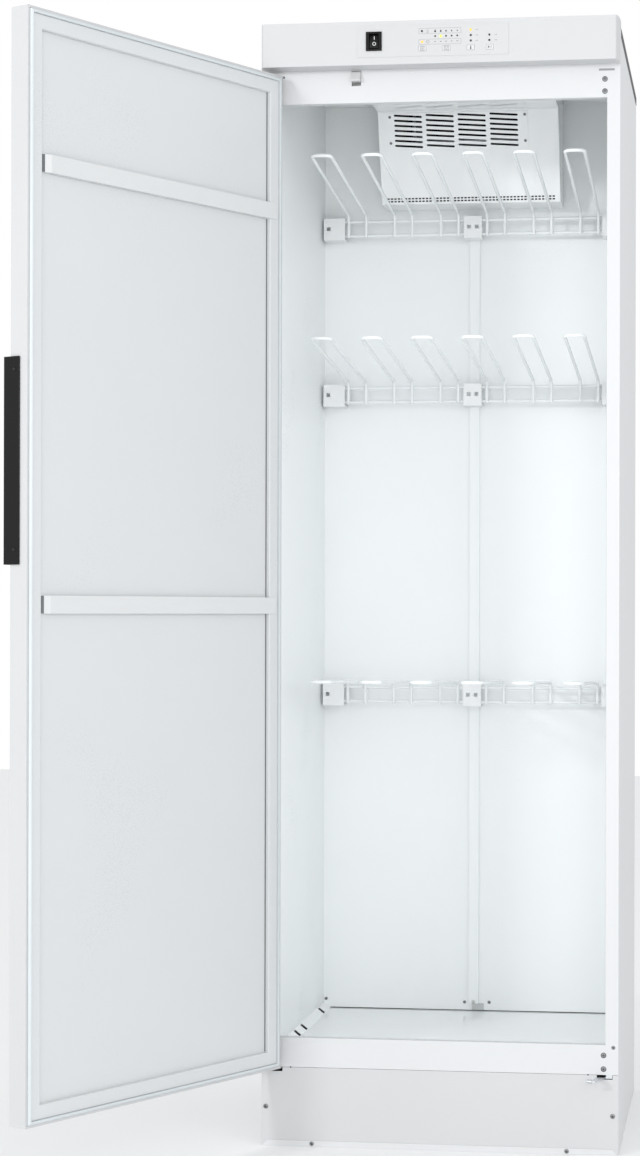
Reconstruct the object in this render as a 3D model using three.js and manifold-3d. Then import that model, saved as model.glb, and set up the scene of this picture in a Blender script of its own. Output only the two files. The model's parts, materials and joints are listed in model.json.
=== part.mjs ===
// A free-standing drying cabinet for laundry: a double-walled sheet-steel body on a plinth, a door on two
// plate hinges, three wire hanging racks that fold down, and a blower and heater under the ceiling.
// Millimetres: +X right, +Y towards the back, +Z up. The origin is on the floor, under the body's centre.
import * as THREE from 'three';
import { mergeVertices } from 'three/addons/utils/BufferGeometryUtils.js';
import Module from 'manifold-3d';

// ---- Body ----
const bodyWidth = 595; // over the side panels
const bodyDepth = 566; // door frame face to rear panel
const sideHeight = 1849; // floor to the side panels' top edge
const skin = 1; // sheet of the body and the inner walls
const traySheet = 1.5; // base tray
const trayLip = 10; // height of the tray's front lip
const coverSheet = 2; // top cover
const plinthHeight = 132; // floor to the seam under the door frame
const seamGap = 0.5; // open seam between plinth and frame
const ventLift = 40; // plinth's seam to the lowest rear vent
const ventSpread = 70; // centre line to each column of rear vents
const ventWidth = 60;
const ventHeight = 4;
const ventPitch = 10;
const ventCount = 6;

// ---- Chamber and door frame ----
const wallInset = 13.5; // side panel's outer face to the inner wall's face
const ductDepth = 38; // rear panel's outer face to the back wall's face
const floorLift = 14; // plinth's seam to the chamber floor
const ceilingDrop = 11; // side panels' top edge to the chamber ceiling
const jambWidth = 21.9; // outer edge to the doorway
const sillLift = 49; // plinth's seam to the doorway's lower edge
const headerDrop = 113; // side panels' top edge to the doorway's upper edge
const frameDepth = 15; // fold depth of the door frame
const returnGap = 1.6; // air slot between the floor and the back wall
const flangeFoot = 14; // floor flange, width of its slope
const flangeRise = 11; // floor flange, height of its slope
const drainWidth = 17; // cut-outs in the floor flange
const drainPlaces = [-75, -11, 170]; // cut-outs' places along Y
const railWidth = 19; // centre rail on the back wall
const railDepth = 6;
const railLift = 14; // chamber floor to the rail
const notchWidth = 6; // notch in the rail's lower end
const notchHeight = 6;

// ---- Fascia and controls ----
const fasciaDrop = 58.5; // side panels' top edge to the fascia's lower edge
const fasciaRise = 11; // top cover to the fascia's upper edge
const fasciaReach = 38; // in front of the frame face
const fasciaTaper = 6.5; // how far each end draws in towards the front
const fasciaWall = 2.5;
const fasciaLap = 18; // how far its top laps over the cover
const coverGap = 0.4; // fascia's lap above the cover
const labelLeft = -133;
const labelRight = 116.8;
const labelFoot = 12.2; // fascia's lower edge to the label
const labelHead = 8.5; // label to the fascia's upper edge
const labelSheet = 0.8;
const switchX = -105.7; // rocker switch centre
const switchLift = 26; // label's lower edge to the switch centre
const bezelWidth = 26.2;
const bezelHeight = 31.4;
const bezelSheet = 2;
const rockerWidth = 14;
const rockerHeight = 23;
const rockerTilt = 7; // degrees from level to either side
const rockerDepth = 7;
const keyXs = [-25.3, 14.7, 54.6, 85.9];
const keyLift = 12.3; // label's lower edge to the keys' centres
const keyWidth = 12;
const keyHeight = 8;
const keyTravel = 0.6;
const keyProud = 0.3;
const fit = 0.3; // clearance round pieces that move or sit in a turned group

// ---- Door ----
const doorInset = 1; // side edges inside the body's width
const doorLift = 1; // plinth's seam to the door
const doorClear = 11.5; // door to the fascia
const doorGap = 4.5; // frame face to the door's inner face
const doorSheet = 1.2;
const hingeInset = 13.5; // hinge pin from the body's side
const hingeReach = 23; // hinge pin in front of the frame face
const openAngle = 118; // degrees, as the door stands
const gasketWidth = 5;
const gasketDepth = 6;
const gasketShort = 0.5; // gasket's lip off the frame when shut
const gasketBevel = 1.5; // how far the lip's outer edge falls back
const gasketLand = 2; // flat on the lip's inner edge
const grooveWidth = 6;
const shellReturn = 4;
const doorBorder = 21; // flat border round the recess
const recessDepth = 8;
const barHeight = 27;
const barDrops = [892, 240]; // door's top edge to the bars' lower edges
const barNames = ['lower', 'upper'];
const barRamp = 18;
const barProud = 1.2; // bar face in front of the border
const barSheet = 0.9;
const handleDrop = 514; // door's top edge to the handle's top
const handleLength = 306;
const handleLap = 20; // how far it laps over the door's edge
const handleProud = 12.8; // in front of the door's outer face
const handleSheet = 2.6;
const handleLip = 20; // lip across the door's outer face
const plateSheet = 2.5; // hinge and catch plates
const pinRadius = 4;
const pinLength = 15;
const legHeight = 46; // screwed leg of each plate, behind the jamb
const slotInset = 9.5; // plate slot, from the body's side
const slotWidth = 26;
const lowerPlateDrop = 3.8; // door's lower edge to the lower plate's underside
const upperPlateLift = 1; // door's top edge to the upper plate
const catchPlateDrop = 7; // door's lower edge to the catch plate's underside
const slotHeight = 8;
const upperSlotHeight = 3.6;
const catchInset = 45.5; // catch roller from the body's side
const catchReach = 34; // in front of the frame face
const rollerRadius = 3;
const rollerLength = 8;

// ---- Door switch ----
const leverX = -141;
const leverWidth = 15;
const leverDrop = 52; // chamber ceiling to the lever's pivot
const leverPivotInset = 3; // behind the frame face
const leverRoomBelow = 25; // pivot to the floor of the lever's pocket
const leverRoomAbove = 5;
const leverSlotBelow = 21.5; // pivot to the lower edge of its slot in the header
const leverSlotAbove = 3.5;

// ---- Hanging racks ----
const rackNames = ['lower', 'middle', 'upper'];
const rackDrops = [1088, 531, 221]; // chamber ceiling to each rack's upper rod
const rackRises = [21, 49, 50]; // upper rod to loop ends
const wireRadius = 3;
const rodSpacing = 26;
const wallToRod = 36;
const rodEndGap = 10; // rod's end to the side wall
const loopCount = 6;
const loopToBracket = 7; // outermost loop's wire to the outer bracket
const loopWidth = 33;
const loopReach = 403; // rods to loop ends
const loopBend = 14;
const bendLift = 10; // upper rod to the loops' bend
const loopCorner = 11;
const weldSink = 1; // how far wires sink into each other at a weld
const bracketWidths = [40, 34, 40];
const bracketNames = ['left', 'centre', 'right'];
const bracketOver = 6.6; // above the upper rod
const bracketUnder = 8.3; // below the lower rod
const bracketSheet = 3;
const bracketEdge = 4.5; // outer brackets off the side walls
const bracketBore = 3.5;
const windowSize = 7;

// ---- Blower and heater ----
const housingWidth = 330;
const housingDrop = 37; // chamber ceiling to the housing's flat underside, in front of its face
const housingNose = 100; // depth of that underside
const housingHeight = 159; // flat underside to the housing's lower edge
const housingTopReach = 134; // back wall to the face, at its top
const housingBottomReach = 73; // back wall to the face, at the bottom
const grilleX = -22;
const grilleWidth = 262;
const grilleHeight = 68;
const grilleDrop = 3; // face's top to the grille's top edge, along the face
const slotColumns = 4;
const slotRows = 7;
const slotLength = 51.7;
const slotSpacing = 58.4; // across the grille
const slotFall = 9.15; // down the grille
const slotThick = 3.8;
const slotStart = 5.5; // grille's top edge to the first slot's centre
const slotLean = 4; // degrees, each slot's right end lower
const outletPitch = 6.5;
const outletWidth = 4.4;
const outletHeight = 2.8;
const outletFall = 5; // from one row of outlets to the other
const outletMargin = 8;
const outletLift = 4; // housing's lower edge to the outlets
const blowerSetback = 42; // back wall to the blower's axis
const blowerDrop = 140; // chamber ceiling to the blower's axis
const impellerLeft = -51;
const impellerRadius = 33;
const impellerLength = 86;
const impellerRim = 8;
const bladeCount = 12;
const motorRadius = 27;
const motorLength = 58;
const motorGap = 8;
const shaftRadius = 3;
const shaftReach = 20; // shaft's length inside the motor
const shaftClear = 6; // shaft's end to the end of its bore
const heaterDrop = 78; // chamber ceiling to the heater
const heaterRadius = 3.5;
const heaterHalf = 105;
const heaterSetback = 30; // back wall to the heater's nearest run
const heaterRun = 24;
const heaterBend = 10;
const collarRadius = 62.5; // exhaust duct, 125 mm outside
const collarWall = 1.5;
const collarHeight = 24; // above the top cover
const collarFlange = 12;
const collarSetback = 4.5; // collar to the back wall
const glandInset = 62.5; // body's side to the gland
const glandRadius = 11;
const glandHeight = 9;

// ---- Places that follow ----
const half = bodyWidth / 2;
const front = -bodyDepth / 2;
const rear = bodyDepth / 2;
const inSide = half - skin;
const chamberHalf = half - wallInset;
const backWall = rear - ductDepth;
const doorwayHalf = half - jambWidth;
const frameBack = front + frameDepth;
const coverTop = sideHeight + coverSheet;
const floorHeight = plinthHeight + floorLift;
const ceilingHeight = sideHeight - ceilingDrop;
const sillHeight = plinthHeight + sillLift;
const headerHeight = sideHeight - headerDrop;
const railBottom = floorHeight + railLift;
const fasciaBottom = sideHeight - fasciaDrop;
const fasciaTop = coverTop + fasciaRise;
const labelBottom = fasciaBottom + labelFoot;
const labelTop = fasciaTop - labelHead;
const switchZ = labelBottom + switchLift;
const keyZ = labelBottom + keyLift;
const doorBottom = plinthHeight + doorLift;
const doorTop = fasciaBottom - doorClear;
const barBottoms = barDrops.map((drop) => doorTop - drop);
const handleTop = doorTop - handleDrop;
const handleBottom = handleTop - handleLength;
const lowerPlateZ = doorBottom - lowerPlateDrop;
const upperPlateZ = doorTop + upperPlateLift;
const catchPlateZ = doorBottom - catchPlateDrop;
const leverPivotZ = ceilingHeight - leverDrop;
const rackRodHeights = rackDrops.map((drop) => ceilingHeight - drop);
const rodY = backWall - wallToRod;
const rodHalf = chamberHalf - rodEndGap;
const bracketEdgeX = chamberHalf - bracketEdge;
const outerLoopX = bracketEdgeX - bracketWidths[0] - loopToBracket - loopWidth / 2;
const loopPitch = (2 * outerLoopX) / (loopCount - 1);
const housingCrease = ceilingHeight - housingDrop;
const housingBottom = housingCrease - housingHeight;
const fasciaFront = front - fasciaReach;
const hingeX = -(half - hingeInset);
const hingeY = front - hingeReach;
const labelFront = fasciaFront - labelSheet;
const blowerY = backWall - blowerSetback;
const blowerZ = ceilingHeight - blowerDrop;
const heaterZ = ceilingHeight - heaterDrop;
const collarY = backWall - collarRadius - collarSetback;
const glandX = half - glandInset;

const wasm = await Module();
wasm.setup();

const paint = (color, roughness, metalness = 0) =>
  new THREE.MeshStandardMaterial({ color, roughness, metalness });
const white = paint(0xf1f3f4, 0.35);
const enamel = paint(0xe6edee, 0.18);
const plastic = paint(0xf3f4f2, 0.45);
const wire = paint(0xf4f6f6, 0.3);
const black = paint(0x151517, 0.5);
const rubber = paint(0xc9cdcf, 0.8);
const steel = paint(0xb9bdc0, 0.35, 0.9);
const board = paint(0x2f6b45, 0.6);

// ---- Solids ----

function toSolid(geometry) {
  const bare = geometry.clone();
  bare.deleteAttribute('normal');
  bare.deleteAttribute('uv');
  const merged = mergeVertices(bare, 1e-4);
  return new wasm.Manifold(new wasm.Mesh({
    numProp: 3,
    vertProperties: new Float32Array(merged.attributes.position.array),
    triVerts: new Uint32Array(merged.index.array),
  }));
}

function toGeometry(solid) {
  const mesh = solid.getMesh();
  const geometry = new THREE.BufferGeometry();
  geometry.setAttribute('position', new THREE.BufferAttribute(mesh.vertProperties, 3));
  geometry.setIndex(new THREE.BufferAttribute(mesh.triVerts, 1));
  geometry.computeVertexNormals();
  return geometry;
}

// A box from its lowest and highest corners.
function block([x0, y0, z0], [x1, y1, z1]) {
  const geometry = new THREE.BoxGeometry(x1 - x0, y1 - y0, z1 - z0);
  geometry.translate((x0 + x1) / 2, (y0 + y1) / 2, (z0 + z1) / 2);
  return toSolid(geometry);
}

// An outline extruded along one axis. Its points are [y, z] along x, [x, z] along y and [x, y] along z.
function prism(axis, outline, from, to) {
  const swap = axis === 'y';
  const points = outline.map(([u, v]) => (swap ? new THREE.Vector2(v, u) : new THREE.Vector2(u, v)));
  const options = { depth: to - from, bevelEnabled: false };
  const geometry = new THREE.ExtrudeGeometry(new THREE.Shape(points), options);
  const basis = {
    x: [new THREE.Vector3(0, 1, 0), new THREE.Vector3(0, 0, 1), new THREE.Vector3(1, 0, 0)],
    y: [new THREE.Vector3(0, 0, 1), new THREE.Vector3(1, 0, 0), new THREE.Vector3(0, 1, 0)],
    z: [new THREE.Vector3(1, 0, 0), new THREE.Vector3(0, 1, 0), new THREE.Vector3(0, 0, 1)],
  }[axis];
  geometry.translate(0, 0, from);
  geometry.applyMatrix4(new THREE.Matrix4().makeBasis(...basis));
  return toSolid(geometry);
}

// A round bar between two points.
function bar(from, to, radius, sides = 12) {
  const a = new THREE.Vector3(...from);
  const b = new THREE.Vector3(...to);
  const geometry = new THREE.CylinderGeometry(radius, radius, a.distanceTo(b), sides);
  const turn = new THREE.Quaternion().setFromUnitVectors(
    new THREE.Vector3(0, 1, 0), b.clone().sub(a).normalize());
  geometry.applyQuaternion(turn);
  const middle = a.add(b).multiplyScalar(0.5);
  geometry.translate(middle.x, middle.y, middle.z);
  return toSolid(geometry);
}

function join(solids) {
  return solids.reduce((whole, piece) => whole.add(piece));
}

function mirrorX(outline) {
  return outline.map(([x, y]) => [-x, y]);
}

// Bent wire: stations at the ends of straight runs and along each rounded corner.
class StationPath extends THREE.Curve {
  constructor(stations) {
    super();
    this.stations = stations;
  }

  getPoint(t) {
    const last = this.stations.length - 1;
    const index = Math.min(Math.floor(t * last + 1e-6), last);
    const next = Math.min(index + 1, last);
    return this.stations[index].clone().lerp(this.stations[next], Math.max(0, t * last - index));
  }

  getPointAt(t) {
    return this.getPoint(t);
  }

  getTangentAt(t) {
    const last = this.stations.length - 1;
    const index = Math.round(t * last);
    const before = this.stations[Math.max(index - 1, 0)];
    const here = this.stations[index];
    const after = this.stations[Math.min(index + 1, last)];
    const into = here.clone().sub(before).normalize();
    const outOf = after.clone().sub(here).normalize();
    return into.add(outOf).normalize();
  }
}

// Corners and their radii to stations, with each rounded corner as an arc of three steps.
function roundedStations(corners, radii) {
  const steps = 3;
  const points = corners.map((corner) => new THREE.Vector3(...corner));
  const stations = [points[0]];
  for (let i = 1; i < points.length - 1; i += 1) {
    const into = points[i].clone().sub(points[i - 1]).normalize();
    const outOf = points[i + 1].clone().sub(points[i]).normalize();
    const turn = into.angleTo(outOf);
    const start = points[i].clone().addScaledVector(into, -radii[i - 1] * Math.tan(turn / 2));
    const centre = points[i].clone().addScaledVector(
      outOf.clone().sub(into).normalize(), radii[i - 1] / Math.cos(turn / 2));
    const axis = into.clone().cross(outOf).normalize();
    for (let step = 0; step <= steps; step += 1) {
      const arm = start.clone().sub(centre).applyAxisAngle(axis, (turn * step) / steps);
      stations.push(arm.add(centre));
    }
  }
  stations.push(points.at(-1));
  return stations;
}

function bentWire(corners, radii, radius, sides = 6) {
  const stations = roundedStations(corners, radii);
  const ring = Array.from({ length: sides }, (_, i) => {
    const angle = (2 * Math.PI * i) / sides;
    return new THREE.Vector2(radius * Math.cos(angle), radius * Math.sin(angle));
  });
  return toSolid(new THREE.ExtrudeGeometry(new THREE.Shape(ring), {
    steps: stations.length - 1,
    extrudePath: new StationPath(stations),
  }));
}

// ---- Scene graph ----

const cabinet = new THREE.Group();
const door = new THREE.Group();
door.position.set(hingeX, hingeY, 0);
door.rotation.z = THREE.MathUtils.degToRad(-openAngle);
cabinet.add(door);

function add(name, solid, material, parent = cabinet) {
  const geometry = toGeometry(solid);
  if (parent === door) geometry.translate(-hingeX, -hingeY, 0);
  const mesh = new THREE.Mesh(geometry, material);
  mesh.name = name;
  parent.add(mesh);
}

// ---- Body panels ----

function bodyPanels() {
  add('left_side_panel', block([-half, front, traySheet], [-inSide, rear, sideHeight]), white);
  add('right_side_panel', block([inSide, front, traySheet], [half, rear, sideHeight]), white);
  add('base_tray', baseTray(), white);
  add('plinth_panel', plinthPanel(), white);
  add('rear_panel', rearPanel(), steel);
  add('top_cover', topCover(), black);
}

// The tray's lip stands in front of the plinth, with its ends cut at 45 degrees.
function baseTray() {
  const floor = block([-half, front - skin, 0], [half, rear, traySheet]);
  const lip = [[-half, 0], [half, 0], [half - trayLip, trayLip], [-half + trayLip, trayLip]];
  return floor.add(prism('y', lip, front - skin, front));
}

function plateSlot(side, bottom, height) {
  const outer = side * (half - slotInset);
  const inner = side * (half - slotInset - slotWidth);
  const [x0, x1] = [Math.min(outer, inner), Math.max(outer, inner)];
  return block([x0, front - 5, bottom], [x1, front + 5, bottom + height]);
}

function plinthPanel() {
  const top = plinthHeight - seamGap;
  const panel = block([-inSide, front, traySheet], [inSide, front + skin, top]);
  const slots = [-1, 1].map((side) => plateSlot(side, top - slotHeight + 1, slotHeight + 5));
  return panel.subtract(join(slots));
}

// Fresh air comes in through two rows of slots low on the rear panel.
function rearPanel() {
  const vents = [];
  for (const x of [-ventSpread, ventSpread]) {
    for (let row = 0; row < ventCount; row += 1) {
      const z = plinthHeight + ventLift + row * ventPitch;
      vents.push(block([x - ventWidth / 2, rear - 5, z], [x + ventWidth / 2, rear + 5, z + ventHeight]));
    }
  }
  return block([-inSide, rear - skin, traySheet], [inSide, rear, sideHeight]).subtract(join(vents));
}

function topCover() {
  const sheet = block([-half, front, sideHeight], [half, rear, coverTop]);
  const ductHole = bar([0, collarY, sideHeight - 5], [0, collarY, coverTop + 5], collarRadius + 1, 32);
  const cableHole = bar([glandX, backWall, sideHeight - 5], [glandX, backWall, coverTop + 5],
    glandRadius - 4);
  return sheet.subtract(ductHole).subtract(cableHole);
}

// ---- Door frame: four members of one folded section ----

// u runs outward from the doorway's edge, v back from the frame face.
function frameSection(across, reach) {
  return [[0, 0], [across, 0], [across, skin], [skin, skin], [skin, frameDepth - skin],
    [reach, frameDepth - skin], [reach, frameDepth], [0, frameDepth]];
}

function jamb(side) {
  const section = frameSection(inSide - doorwayHalf, chamberHalf + skin - doorwayHalf);
  const outline = section.map(([u, v]) => [side * (doorwayHalf + u), front + v]);
  const slot = plateSlot(side, upperPlateZ - fit, upperSlotHeight);
  return prism('z', outline, plinthHeight, sideHeight).subtract(slot);
}

function header() {
  const section = frameSection(sideHeight - headerHeight, ceilingHeight + skin - headerHeight);
  const outline = section.map(([u, v]) => [front + v, headerHeight + u]);
  const slots = [-1, 1].map((side) => plateSlot(side, upperPlateZ - fit, upperSlotHeight));
  const leverSlot = block([leverX - leverWidth / 2 - fit, front - 5, leverPivotZ - leverSlotBelow],
    [leverX + leverWidth / 2 + fit, front + 5, leverPivotZ + leverSlotAbove]);
  return prism('x', outline, -doorwayHalf, doorwayHalf).subtract(join([...slots, leverSlot]));
}

function sill() {
  const section = frameSection(sillHeight - plinthHeight, sillHeight - floorHeight + skin);
  const outline = section.map(([u, v]) => [front + v, sillHeight - u]);
  return prism('x', outline, -doorwayHalf, doorwayHalf);
}

function doorFrame() {
  add('left_jamb', jamb(-1), white);
  add('right_jamb', jamb(1), white);
  add('header', header(), white);
  add('sill', sill(), white);
}

// ---- Chamber ----

function chamber() {
  const low = floorHeight - skin;
  const wall = (side) => {
    const xs = [side * chamberHalf, side * (chamberHalf + skin)];
    return block([Math.min(...xs), frameBack, low], [Math.max(...xs), backWall, ceilingHeight]);
  };
  const outer = chamberHalf + skin;
  const back = block([-outer, backWall, floorHeight + returnGap], [outer, backWall + skin, ceilingHeight]);
  add('left_inner_wall', wall(-1), enamel);
  add('right_inner_wall', wall(1), enamel);
  add('back_wall', back, enamel);
  add('floor_pan', floorPan(), enamel);
  add('ceiling_panel', ceiling(), enamel);
  add('centre_rail', centreRail(), enamel);
}

// The floor's side edges slope up to the walls, with cut-outs along the slopes.
function floorPan() {
  const edge = chamberHalf - fit;
  const crease = chamberHalf - flangeFoot;
  const slope = flangeRise / flangeFoot;
  const rise = (x) => floorHeight + (x - crease) * slope;
  const outline = [[-edge, rise(edge)], [-crease, floorHeight], [crease, floorHeight], [edge, rise(edge)],
    [edge, rise(edge) - skin], [crease, floorHeight - skin], [-crease, floorHeight - skin],
    [-edge, rise(edge) - skin]];
  const cuts = [];
  for (const side of [-1, 1]) {
    for (const y of drainPlaces) {
      const xs = [side * (crease + 1), side * (edge - 1.5)];
      const [x0, x1] = [Math.min(...xs), Math.max(...xs)];
      cuts.push(block([x0, y, floorHeight - 5], [x1, y + drainWidth, floorHeight + 20]));
    }
  }
  const edges = prism('y', outline, frameBack, backWall);
  const tail = block([-crease, backWall, floorHeight - skin], [crease, rear - skin, floorHeight]);
  return edges.subtract(join(cuts)).add(tail);
}

function ceiling() {
  const outer = chamberHalf + skin;
  const sheet = block([-outer, frameBack, ceilingHeight], [outer, rear - skin, ceilingHeight + skin]);
  const hole = bar([0, collarY, ceilingHeight - 5], [0, collarY, ceilingHeight + 5], collarRadius - 5, 32);
  return sheet.subtract(hole);
}

function centreRail() {
  const top = rackRodHeights[2] - rodSpacing - bracketUnder + 20;
  const [near, w] = [backWall - railDepth, railWidth / 2];
  const outline = [[-w, backWall], [-w, near], [w, near], [w, backWall], [w - skin, backWall],
    [w - skin, near + skin], [-w + skin, near + skin], [-w + skin, backWall]];
  const notch = block([-notchWidth / 2, near - 5, railBottom - 5],
    [notchWidth / 2, near + skin + 1, railBottom + notchHeight]);
  return prism('z', outline, railBottom, top).subtract(notch);
}

// ---- Racks: two rods and six loops of wire, turning in three brackets on the back wall ----

// Half of a rack: its rods meet the other half's inside the centre bracket.
function halfRack(side, rodZ, rise) {
  const lowZ = rodZ - rodSpacing;
  const [x0, x1] = side < 0 ? [-rodHalf, 0] : [0, rodHalf];
  const rods = [rodZ, lowZ].map((z) => bar([x0, rodY, z], [x1, rodY, z], wireRadius, 8));
  const standY = rodY - 2 * wireRadius + weldSink;
  const bendZ = rodZ + bendLift;
  const tipY = rodY - loopReach;
  const loops = [];
  for (let i = 0; i < loopCount / 2; i += 1) {
    const x = side * (i + 0.5) * loopPitch;
    const [a, b] = [x - loopWidth / 2, x + loopWidth / 2];
    const corners = [[a, standY, lowZ - wireRadius], [a, standY, bendZ], [a, tipY, rodZ + rise],
      [b, tipY, rodZ + rise], [b, standY, bendZ], [b, standY, lowZ - wireRadius]];
    loops.push(bentWire(corners, [loopBend, loopCorner, loopCorner, loopBend], wireRadius));
  }
  return join([...rods, ...loops]);
}

// Side view of a bracket: a front plate, an arm and a foot that run back to the wall, and a boss on the
// upper rod.
function bracket(rodZ, x0, x1, seatY, windowXs) {
  const top = rodZ + bracketOver;
  const bottom = rodZ - rodSpacing - bracketUnder;
  const plateBack = rodY - wireRadius - 0.6;
  const plateFront = plateBack - bracketSheet;
  const bossHalf = bracketBore + 2;
  const outline = [[plateFront, bottom], [seatY, bottom], [seatY, bottom + bracketSheet],
    [plateBack, bottom + bracketSheet], [plateBack, rodZ - bossHalf], [rodY + bossHalf, rodZ - bossHalf],
    [rodY + bossHalf, top - bracketSheet], [seatY, top - bracketSheet], [seatY, top], [plateFront, top]];
  const bore = bar([x0 - 5, rodY, rodZ], [x1 + 5, rodY, rodZ], bracketBore, 16);
  const windowZ = rodZ - rodSpacing / 2 - windowSize / 2;
  const windows = windowXs.map((x) => block([x - windowSize / 2, plateFront - 5, windowZ],
    [x + windowSize / 2, plateBack + 1, windowZ + windowSize]));
  return prism('x', outline, x0, x1).subtract(join([bore, ...windows]));
}

function racks() {
  const edge = bracketEdgeX;
  rackNames.forEach((name, i) => {
    const rodZ = rackRodHeights[i];
    add(`rack_${name}_left`, halfRack(-1, rodZ, rackRises[i]), wire);
    add(`rack_${name}_right`, halfRack(1, rodZ, rackRises[i]), wire);
    bracketNames.forEach((place, j) => {
      const width = bracketWidths[j];
      const x0 = [-edge, -width / 2, edge - width][j];
      const windows = [[-edge + 9], [-7.2, 7.2], [edge - 9]][j];
      const seat = place === 'centre' ? backWall - railDepth : backWall;
      add(`rack_bracket_${name}_${place}`, bracket(rodZ, x0, x0 + width, seat, windows), plastic);
    });
  });
}

// ---- Blower and heater under the ceiling ----

// A point of the housing's sloping face, from how far down the slope it lies, and how far it stands proud.
const faceRise = housingHeight;
const faceRun = housingTopReach - housingBottomReach;
const faceLength = Math.hypot(faceRise, faceRun);
const faceTilt = Math.atan2(faceRun, faceRise);

// Turns a solid that is drawn on an upright face, z up from the face's top edge, onto the sloping face.
function onFace(solid) {
  const turned = solid.rotate([THREE.MathUtils.radToDeg(faceTilt), 0, 0]);
  return turned.translate([0, backWall - housingTopReach, housingCrease]);
}

// A box under the ceiling: its flat underside runs back to a face that slopes down to the air outlets.
function fanHousing() {
  const topY = backWall - housingTopReach;
  const bottomY = backWall - housingBottomReach;
  const noseY = topY - housingNose;
  const outline = [[noseY, ceilingHeight], [noseY, housingCrease], [topY, housingCrease],
    [bottomY, housingBottom], [backWall, housingBottom], [backWall, ceilingHeight]];
  const inset = skin / Math.cos(faceTilt);
  const hollow = [[noseY + skin, ceilingHeight + 5], [noseY + skin, housingCrease + skin],
    [topY + inset, housingCrease + skin], [bottomY + inset, housingBottom + skin],
    [backWall + 5, housingBottom + skin], [backWall + 5, ceilingHeight + 5]];
  const w = housingWidth / 2;
  const shell = prism('x', outline, -w, w).subtract(prism('x', hollow, -w + skin, w - skin));
  const opening = onFace(block([grilleX - grilleWidth / 2 + 12, -4, -grilleDrop - grilleHeight + 1.5],
    [grilleX + grilleWidth / 2 - 12, 4, -grilleDrop - 1.5]));
  return shell.subtract(opening).subtract(outletHoles());
}

function outletHoles() {
  const count = Math.floor((housingWidth - 2 * outletMargin) / outletPitch);
  const start = -((count - 1) * outletPitch) / 2;
  const holes = [];
  for (let row = 0; row < 2; row += 1) {
    const z = -faceLength + outletLift + row * outletFall;
    for (let i = 0; i < count; i += 1) {
      const x = start + i * outletPitch;
      holes.push(block([x - outletWidth / 2, -4, z], [x + outletWidth / 2, 4, z + outletHeight]));
    }
  }
  return onFace(join(holes));
}

// A slot with round ends, centred on the origin and leaning down to the right.
function grilleSlot() {
  const [end, radius] = [(slotLength - slotThick) / 2, slotThick / 2];
  const ends = [-end, end].map((x) => bar([x, -5, 0], [x, 5, 0], radius, 8));
  const middle = block([-end, -5, -radius], [end, 5, radius]);
  return join([middle, ...ends]).rotate([0, slotLean, 0]);
}

function intakeGrille() {
  const plate = block([grilleX - grilleWidth / 2, -skin - fit, -grilleDrop - grilleHeight],
    [grilleX + grilleWidth / 2, -fit, -grilleDrop]);
  const slot = grilleSlot();
  const slots = [];
  for (let column = 0; column < slotColumns; column += 1) {
    const x = grilleX + (column - (slotColumns - 1) / 2) * slotSpacing;
    for (let row = 0; row < slotRows; row += 1) {
      slots.push(slot.translate([x, 0, -grilleDrop - slotStart - row * slotFall]));
    }
  }
  return onFace(plate.subtract(join(slots)));
}

function impeller() {
  const [x0, x1] = [impellerLeft, impellerLeft + impellerLength];
  const axle = bar([x0 + 2, blowerY, blowerZ], [x1 + motorGap + shaftReach, blowerY, blowerZ],
    shaftRadius, 8);
  const disc = bar([x1 - 2, blowerY, blowerZ], [x1, blowerY, blowerZ], impellerRadius, 24);
  const eye = bar([x0 - 1, blowerY, blowerZ], [x0 + 4, blowerY, blowerZ], impellerRadius - impellerRim, 24);
  const rim = bar([x0, blowerY, blowerZ], [x0 + 3, blowerY, blowerZ], impellerRadius, 24).subtract(eye);
  const blade = block([x0 + 1, -1, impellerRadius - impellerRim - 0.5], [x1 - 1, 1, impellerRadius - 1]);
  const blades = Array.from({ length: bladeCount }, (_, i) =>
    blade.rotate([(360 * i) / bladeCount, 0, 0]).translate([0, blowerY, blowerZ]));
  return join([axle, disc, rim, ...blades]);
}

function fanMotor() {
  const x0 = impellerLeft + impellerLength + motorGap;
  const can = bar([x0, blowerY, blowerZ], [x0 + motorLength, blowerY, blowerZ], motorRadius, 20);
  const foot = block([x0 + 8, blowerY, blowerZ - 15], [x0 + motorLength - 8, backWall, blowerZ + 15]);
  const bore = bar([x0 - 1, blowerY, blowerZ], [x0 + shaftReach + shaftClear, blowerY, blowerZ],
    shaftRadius + 2 * fit, 12);
  return can.add(foot).subtract(bore);
}

function heater() {
  const ys = [0, 1, 2].map((run) => backWall - heaterSetback - run * heaterRun);
  const corners = [[heaterHalf, ys[0], ceilingHeight - fit], [heaterHalf, ys[0], heaterZ],
    [-heaterHalf, ys[0], heaterZ], [-heaterHalf, ys[1], heaterZ], [heaterHalf, ys[1], heaterZ],
    [heaterHalf, ys[2], heaterZ], [-heaterHalf, ys[2], heaterZ], [-heaterHalf, ys[2], ceilingHeight - fit]];
  return bentWire(corners, corners.slice(2).map(() => heaterBend), heaterRadius);
}

// A ring lathed about the duct's axis, from the ceiling to above the cover, with a flange on the cover.
function exhaustCollar() {
  const inner = collarRadius - collarWall;
  const low = ceilingHeight + skin;
  const high = coverTop + collarHeight;
  const outside = collarRadius + collarFlange;
  const profile = [[inner, low], [collarRadius, low], [collarRadius, coverTop], [outside, coverTop],
    [outside, coverTop + collarWall], [collarRadius, coverTop + collarWall], [collarRadius, high],
    [inner, high], [inner, low]];
  const geometry = new THREE.LatheGeometry(profile.map(([r, z]) => new THREE.Vector2(r, z)), 32);
  geometry.rotateX(Math.PI / 2);
  geometry.translate(0, collarY, 0);
  return toSolid(geometry);
}

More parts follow.
